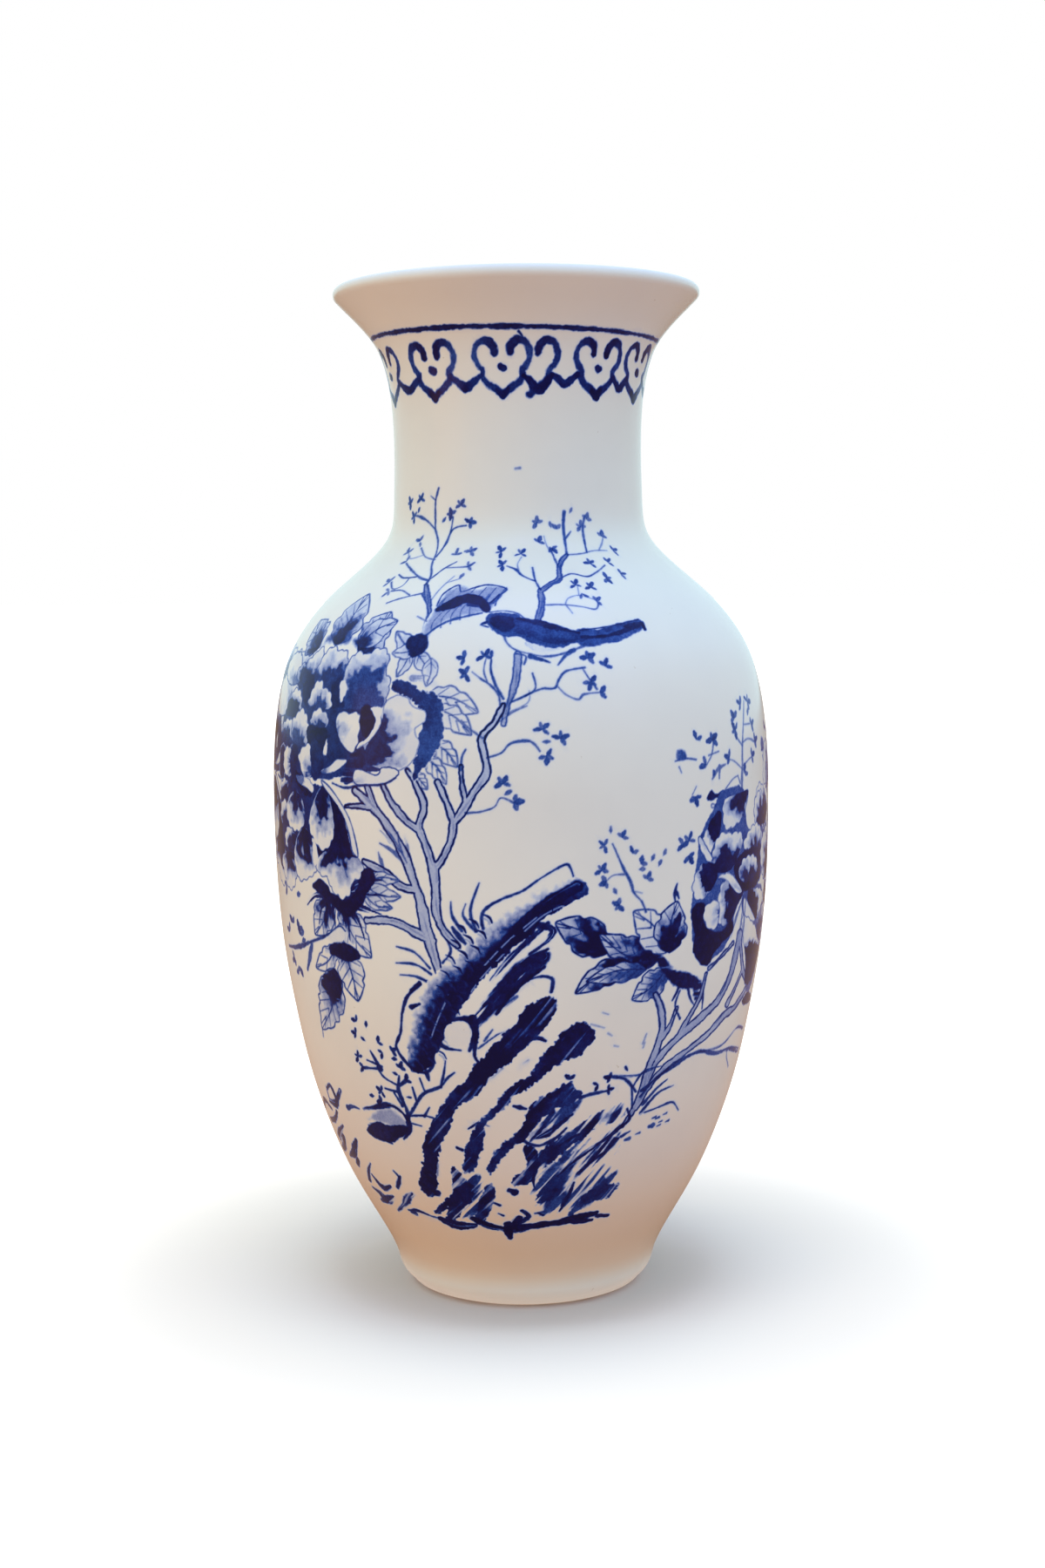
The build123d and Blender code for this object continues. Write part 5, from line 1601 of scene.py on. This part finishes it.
def lathed(name, points, rows, columns, material):
    """A coat turned all the way round from its outline, facing the other way to the outside."""
    _, places, facing_in = smooth_outline(points, rows + 1)
    up, across = np.meshgrid(np.arange(rows + 1), np.arange(columns), indexing="ij")
    angles = across.ravel() * 360 / columns
    spots, normals = turned(places, -facing_in, up.ravel(), angles)
    row, column = np.meshgrid(np.arange(rows), np.arange(columns), indexing="ij")
    beside = (column + 1) % columns
    lower, upper = row * columns, (row + 1) * columns
    quads = np.stack([lower + column, upper + column, upper + beside, lower + beside], axis=-1)
    return new_mesh_object(name, spots, normals, quads.ravel(), np.full(rows * columns, 4), material)


# ---------------------------------------------------------------------------------------------
# Materials.


# Sockets of a Mix node that mixes colours: its plain names are shared with other kinds of value.
MIX_FACTOR, MIX_FIRST, MIX_SECOND = 0, 6, 7
MIX_RESULT = 2


class Nodes:
    """A material's node tree, with short ways to add and join nodes."""

    def __init__(self, name):
        self.material = bpy.data.materials.new(name)
        self.material.use_nodes = True
        self.tree = self.material.node_tree
        self.shader = self.tree.nodes["Principled BSDF"]
        self.place = self.add("ShaderNodeTexCoord").outputs["Object"]

    def add(self, kind, **values):
        node = self.tree.nodes.new(kind)
        for key, value in values.items():
            if key in node.inputs.keys():
                node.inputs[key].default_value = value
            else:
                setattr(node, key, value)
        return node

    def join(self, start, end):
        self.tree.links.new(start, end)

    def noise(self, scale, detail=3.0, roughness=0.5, stretch=(1, 1, 1)):
        """Noise from 0 to 1, with features about 1 / scale metres across."""
        mapping = self.add("ShaderNodeMapping")
        mapping.inputs["Scale"].default_value = stretch
        self.join(self.place, mapping.inputs["Vector"])
        noise = self.add("ShaderNodeTexNoise", Scale=scale, Detail=detail, Roughness=roughness)
        self.join(mapping.outputs["Vector"], noise.inputs["Vector"])
        return noise.outputs["Fac"]

    def ramp(self, value, stops):
        """A colour or grey for each value, from (position, colour) stops."""
        node = self.add("ShaderNodeValToRGB")
        elements = node.color_ramp.elements
        while len(elements) < len(stops):
            elements.new(0.5)
        for element, (position, colour) in zip(elements, stops):
            element.position = position
            element.color = (*colour, 1)
        self.join(value, node.inputs["Fac"])
        return node.outputs["Color"]

    def math(self, operation, first, second, clamp=False):
        node = self.add("ShaderNodeMath", operation=operation, use_clamp=clamp)
        for socket, value in zip(node.inputs, (first, second)):
            if isinstance(value, (int, float)):
                socket.default_value = value
            else:
                self.join(value, socket)
        return node.outputs["Value"]

    def mix(self, share, first, second, blend="MIX"):
        """Two colours mixed; the share of the second is a number or a socket."""
        node = self.add("ShaderNodeMix", data_type="RGBA", blend_type=blend)
        for index, value in ((MIX_FACTOR, share), (MIX_FIRST, first), (MIX_SECOND, second)):
            if isinstance(value, bpy.types.NodeSocket):
                self.join(value, node.inputs[index])
            elif index == MIX_FACTOR:
                node.inputs[index].default_value = value
            else:
                node.inputs[index].default_value = (*value, 1)
        return node.outputs[MIX_RESULT]

    def bump(self, height, depth):
        """Bumps whose height of 0 to 1 stands for that depth in mm."""
        bump = self.add("ShaderNodeBump", Strength=1.0, Distance=depth * MM)
        self.join(height, bump.inputs["Height"])
        self.join(bump.outputs["Normal"], self.shader.inputs["Normal"])

    def set(self, **values):
        for key, value in values.items():
            name = key.replace("_", " ")
            if isinstance(value, bpy.types.NodeSocket):
                self.join(value, self.shader.inputs[name])
            else:
                self.shader.inputs[name].default_value = value


def linear(red, green, blue):
    """A display colour, 0 to 255, as the linear colour that Blender works in."""

    def one(value):
        value = value / 255
        return value / 12.92 if value <= 0.04045 else ((value + 0.055) / 1.055) ** 2.4

    return one(red), one(green), one(blue)


def grey(value):
    return (value, value, value)


BLACK, WHITE = grey(0.0), grey(1.0)
DULL_GLAZE = linear(223, 221, 217)
BARE_GLAZE = linear(228, 226, 221)
BRIGHT_GLAZE = linear(231, 229, 223)
SPECK = linear(176, 160, 138)
BISCUIT = linear(226, 216, 202)
TOAST = linear(196, 164, 132)
# The colour of each cobalt strength.
COBALT_STOPS = (
    (0.08, linear(196, 203, 222)),
    (0.18, linear(172, 183, 213)),
    (0.30, linear(143, 155, 198)),
    (0.45, linear(98, 116, 174)),
    (0.60, linear(42, 76, 156)),
    (0.76, linear(12, 38, 112)),
    (0.90, linear(4, 12, 80)),
    (1.00, linear(2, 5, 58)),
)
# Painted warm floor light and shade on the glaze near the foot: a tint at each height in metres.
PAINTED_FOOT_LIGHT = (
    (0.000, (1.0, 0.95, 0.90)),
    (0.006, WHITE),
    (0.009, (1.0, 0.93, 0.85)),
    (0.014, (1.0, 0.81, 0.655)),
    (0.024, (1.0, 0.80, 0.64)),
    (0.060, (0.97, 0.90, 0.88)),
    (0.120, WHITE),
)


def glazed_porcelain(name, painted):
    """Clear glaze over white porcelain, with cobalt brushwork under it if painted."""
    nodes = Nodes(name)
    clouds = nodes.noise(14, 4, 0.55)
    bare = nodes.ramp(clouds, [(0.3, DULL_GLAZE), (0.5, BARE_GLAZE), (0.7, BRIGHT_GLAZE)])
    specks = nodes.ramp(nodes.noise(420, 2, 0.6), [(0.77, BLACK), (0.80, WHITE)])
    colour = nodes.mix(nodes.math("MULTIPLY", specks, 0.35), bare, SPECK)
    axes = nodes.add("ShaderNodeSeparateXYZ")
    nodes.join(nodes.place, axes.inputs[0])
    # Painted light: the glaze is tinted warmer and darker near the foot, in place of warm light thrown up
    # from the floor.
    painted_foot_light = nodes.ramp(axes.outputs["Z"], PAINTED_FOOT_LIGHT)
    colour = nodes.mix(1.0, colour, painted_foot_light, "MULTIPLY")
    if painted:
        strength = nodes.add("ShaderNodeAttribute", attribute_name="cobalt").outputs["Fac"]
        fine = nodes.math("SUBTRACT", nodes.noise(1400, 2, 0.6), 0.5)
        pools = nodes.math("SUBTRACT", nodes.noise(260, 3, 0.6), 0.5)
        fine, pools = nodes.math("MULTIPLY", fine, 0.55), nodes.math("MULTIPLY", pools, 0.35)
        wander = nodes.math("ADD", fine, pools)
        room = nodes.math("MULTIPLY", strength, nodes.math("SUBTRACT", 1.15, strength))
        wander = nodes.math("MULTIPLY", nodes.math("MULTIPLY", wander, room), 1.6)
        strength = nodes.math("ADD", strength, wander, clamp=True)
        faintest, palest = COBALT_STOPS[0]
        cobalt = nodes.ramp(strength, [(0.0, palest), *COBALT_STOPS])
        laid = nodes.ramp(strength, [(0.0, BLACK), (faintest, WHITE)])
        colour = nodes.mix(laid, colour, cobalt)
    smear = nodes.noise(30, 3, 0.5, (1, 1, 0.35))
    nodes.set(
        Base_Color=colour,
        Roughness=nodes.ramp(smear, [(0.3, grey(0.16)), (0.7, grey(0.24))]),
        Specular_IOR_Level=0.17,
    )
    slow = nodes.math("MULTIPLY", nodes.noise(20, 1, 0.4), 1.5)
    nodes.bump(nodes.math("ADD", nodes.noise(110, 2, 0.5), slow), 0.02)
    return nodes.material


def bare_porcelain(name, warm):
    """Unglazed fired porcelain: chalky and fine-grained, toasted where warm."""
    nodes = Nodes(name)
    patches = nodes.ramp(nodes.noise(60, 5, 0.65), [(0.35, BISCUIT), (0.72, TOAST if warm else BISCUIT)])
    grit = nodes.ramp(nodes.noise(1500, 3, 0.7), [(0.35, grey(0.82)), (0.6, WHITE)])
    nodes.set(
        Base_Color=nodes.mix(1.0, patches, grit, "MULTIPLY"),
        Roughness=nodes.ramp(nodes.noise(300), [(0.3, grey(0.62)), (0.7, grey(0.85))]),
    )
    nodes.bump(nodes.math("ADD", nodes.noise(1800, 4, 0.7), nodes.noise(160, 2)), 0.06)
    return nodes.material


# ---------------------------------------------------------------------------------------------
# The pieces.

painted_glaze = glazed_porcelain("painted_glaze", painted=True)
clear_glaze = glazed_porcelain("clear_glaze", painted=False)
porcelain = bare_porcelain("porcelain_body", warm=True)
slip = bare_porcelain("slip", warm=False)

squares = quilt()
shared_corners = corners_used(squares)
for number in range(STRIPS):
    glaze_strip(number, squares, shared_corners, painted_glaze)

inner_points = coat_points("inner_glaze", -1, 0.05)
lining = lathed("inner_lining", inner_points, LINING_ROWS, LINING_COLUMNS, clear_glaze)
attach(lining, "root")
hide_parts("inner_glaze")

NODE_MATERIALS = {
    "base_glaze": clear_glaze,
    "foot_ring": porcelain,
    "base_disc": porcelain,
    "lower_body": porcelain,
    "upper_body": porcelain,
    "neck_and_mouth": porcelain,
    "foot_seam": slip,
    "waist_seam": slip,
    "shoulder_seam": slip,
}
for node, material in NODE_MATERIALS.items():
    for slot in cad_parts[node].material_slots:
        slot.material = material


# ---------------------------------------------------------------------------------------------
# The stage: a pale floor that runs out to white, soft studio lights, and the camera.

FLOOR_REACH = 30.0  # metres
FLOOR_FADE = (0.12, 0.34)  # metres from the vase's axis over which the floor runs out to white
FLOOR_BOUNCE = (0.44, 0.218, 0.138)  # the floor's colour in the light that it throws up
# The floor's colour at each distance from the axis in metres, darkened close round the foot by painted
# shade.
FLOOR_TONES_AND_SHADE = (
    (0.048, (0.60, 0.545, 0.54)),
    (0.070, (0.72, 0.63, 0.61)),
    (0.120, (0.725, 0.60, 0.55)),
    (0.200, (0.725, 0.575, 0.505)),
)
# The light that the floor gives off to the vase alone, close round the foot.
FOOT_GLOW = ((0.049, (0.41, 0.40, 0.37)), (0.060, BLACK))
ROOM_COLOUR = (0.845, 1.09, 1.115)
ROOM_LIGHT = 1.0
# Each lamp's name, place and aim in metres, size in metres, power in watts and colour. The first
# lights the floor alone.
LAMPS = (
    ("over_floor", (0.01, -0.1, 1.2), (0, 0, 0), 0.5, 11.0, (0.78, 1.0, 1.0)),
    ("overhead", (0.05, -0.05, 1.2), (0, 0, 0), 0.7, 3.1, (0.19, 0.19, 1.0)),
    ("front_right", (1.0, -1.1, 0.95), (0, 0, 0.2), 1.0, 3.4, (0.15, 0.18, 1.0)),
    ("front_left", (-1.0, -1.1, 0.8), (0, 0, 0.2), 1.0, 0.8, (1.0, 0.75, 0.75)),
    ("low_left", (-1.1, -0.5, 0.25), (0, 0, 0.15), 0.7, 2.2, (1.0, 0.38, 0.02)),
)
FLOOR_LAMP = "over_floor"
CAMERA_PLACE = (0.0005, -0.8, 0.2556)  # metres
CAMERA_PITCH = 5.24  # degrees below level
CAMERA_ROLL = -0.6  # degrees
CAMERA_LENS = 50.57  # mm


def stage_floor():
    """A pale floor that runs out to white.

    The camera sees it in its own tones, with painted shade that darkens it close round the foot. The vase
    gets a warmer light back from it, and a glow that is close round the foot."""
    mesh = bpy.data.meshes.new("floor")
    corners = [(-FLOOR_REACH, -FLOOR_REACH, 0), (FLOOR_REACH, -FLOOR_REACH, 0)]
    corners += [(FLOOR_REACH, FLOOR_REACH, 0), (-FLOOR_REACH, FLOOR_REACH, 0)]
    mesh.from_pydata(corners, [], [(0, 1, 2, 3)])
    floor = bpy.data.objects.new("floor", mesh)
    bpy.context.scene.collection.objects.link(floor)
    nodes = Nodes("pale_floor")
    seen = nodes.add("ShaderNodeLightPath").outputs["Is Camera Ray"]
    length = nodes.add("ShaderNodeVectorMath", operation="LENGTH")
    nodes.join(nodes.place, length.inputs[0])
    distance = length.outputs["Value"]
    mottle = nodes.ramp(nodes.noise(3, 2), [(0.3, grey(0.96)), (0.7, WHITE)])
    # The floor's colour as the camera sees it, with painted shade close round the foot.
    tone = nodes.mix(1.0, nodes.ramp(distance, FLOOR_TONES_AND_SHADE), mottle, "MULTIPLY")
    far = nodes.add("ShaderNodeMapRange", interpolation_type="SMOOTHSTEP")
    nodes.join(distance, far.inputs["Value"])
    far.inputs["From Min"].default_value = FLOOR_FADE[0]
    far.inputs["From Max"].default_value = FLOOR_FADE[1]
    nodes.set(
        Base_Color=nodes.mix(seen, FLOOR_BOUNCE, tone),
        Roughness=1.0,
        Specular_IOR_Level=0.0,
        Emission_Color=nodes.mix(seen, nodes.ramp(distance, FOOT_GLOW), far.outputs["Result"]),
        Emission_Strength=1.0,
    )
    mesh.materials.append(nodes.material)
    return floor


def soft_light(name, place, aim, size, power, colour, only=None):
    """A square of soft light, turned towards a place. It may be one that lights one thing only."""
    light = bpy.data.lights.new(name, "AREA")
    light.shape = "SQUARE"
    light.size, light.energy, light.color = size, power, colour
    lamp = bpy.data.objects.new(name, light)
    lamp.location = place
    lamp.rotation_euler = (Vector(aim) - Vector(place)).to_track_quat("-Z", "Y").to_euler()
    bpy.context.scene.collection.objects.link(lamp)
    if only is not None:
        lit = bpy.data.collections.new(name)
        lit.objects.link(only)
        lamp.light_linking.receiver_collection = lit


def white_room():
    """Even light from all round, with a plain white background behind everything."""
    world = bpy.data.worlds.new("room")
    world.use_nodes = True
    tree = world.node_tree
    background = tree.nodes["Background"]
    background.inputs["Color"].default_value = (*ROOM_COLOUR, 1)
    background.inputs["Strength"].default_value = ROOM_LIGHT
    seen = tree.nodes.new("ShaderNodeBackground")
    seen.inputs["Color"].default_value = (1, 1, 1, 1)
    rays = tree.nodes.new("ShaderNodeLightPath")
    either = tree.nodes.new("ShaderNodeMixShader")
    tree.links.new(rays.outputs["Is Camera Ray"], either.inputs["Fac"])
    tree.links.new(background.outputs["Background"], either.inputs[1])
    tree.links.new(seen.outputs["Background"], either.inputs[2])
    tree.links.new(either.outputs["Shader"], tree.nodes["World Output"].inputs["Surface"])
    bpy.context.scene.world = world


white_room()
floor = stage_floor()
for name, *settings in LAMPS:
    soft_light(name, *settings, only=floor if name == FLOOR_LAMP else None)

camera_data = bpy.data.cameras.new("camera")
camera_data.lens = CAMERA_LENS
camera = bpy.data.objects.new("camera", camera_data)
tilt = Matrix.Rotation(math.radians(90 - CAMERA_PITCH), 4, "X")
roll = Matrix.Rotation(math.radians(CAMERA_ROLL), 4, "Z")
camera.matrix_world = Matrix.Translation(CAMERA_PLACE) @ tilt @ roll
bpy.context.scene.collection.objects.link(camera)
bpy.context.scene.camera = camera
bpy.context.scene.view_settings.view_transform = "Standard"
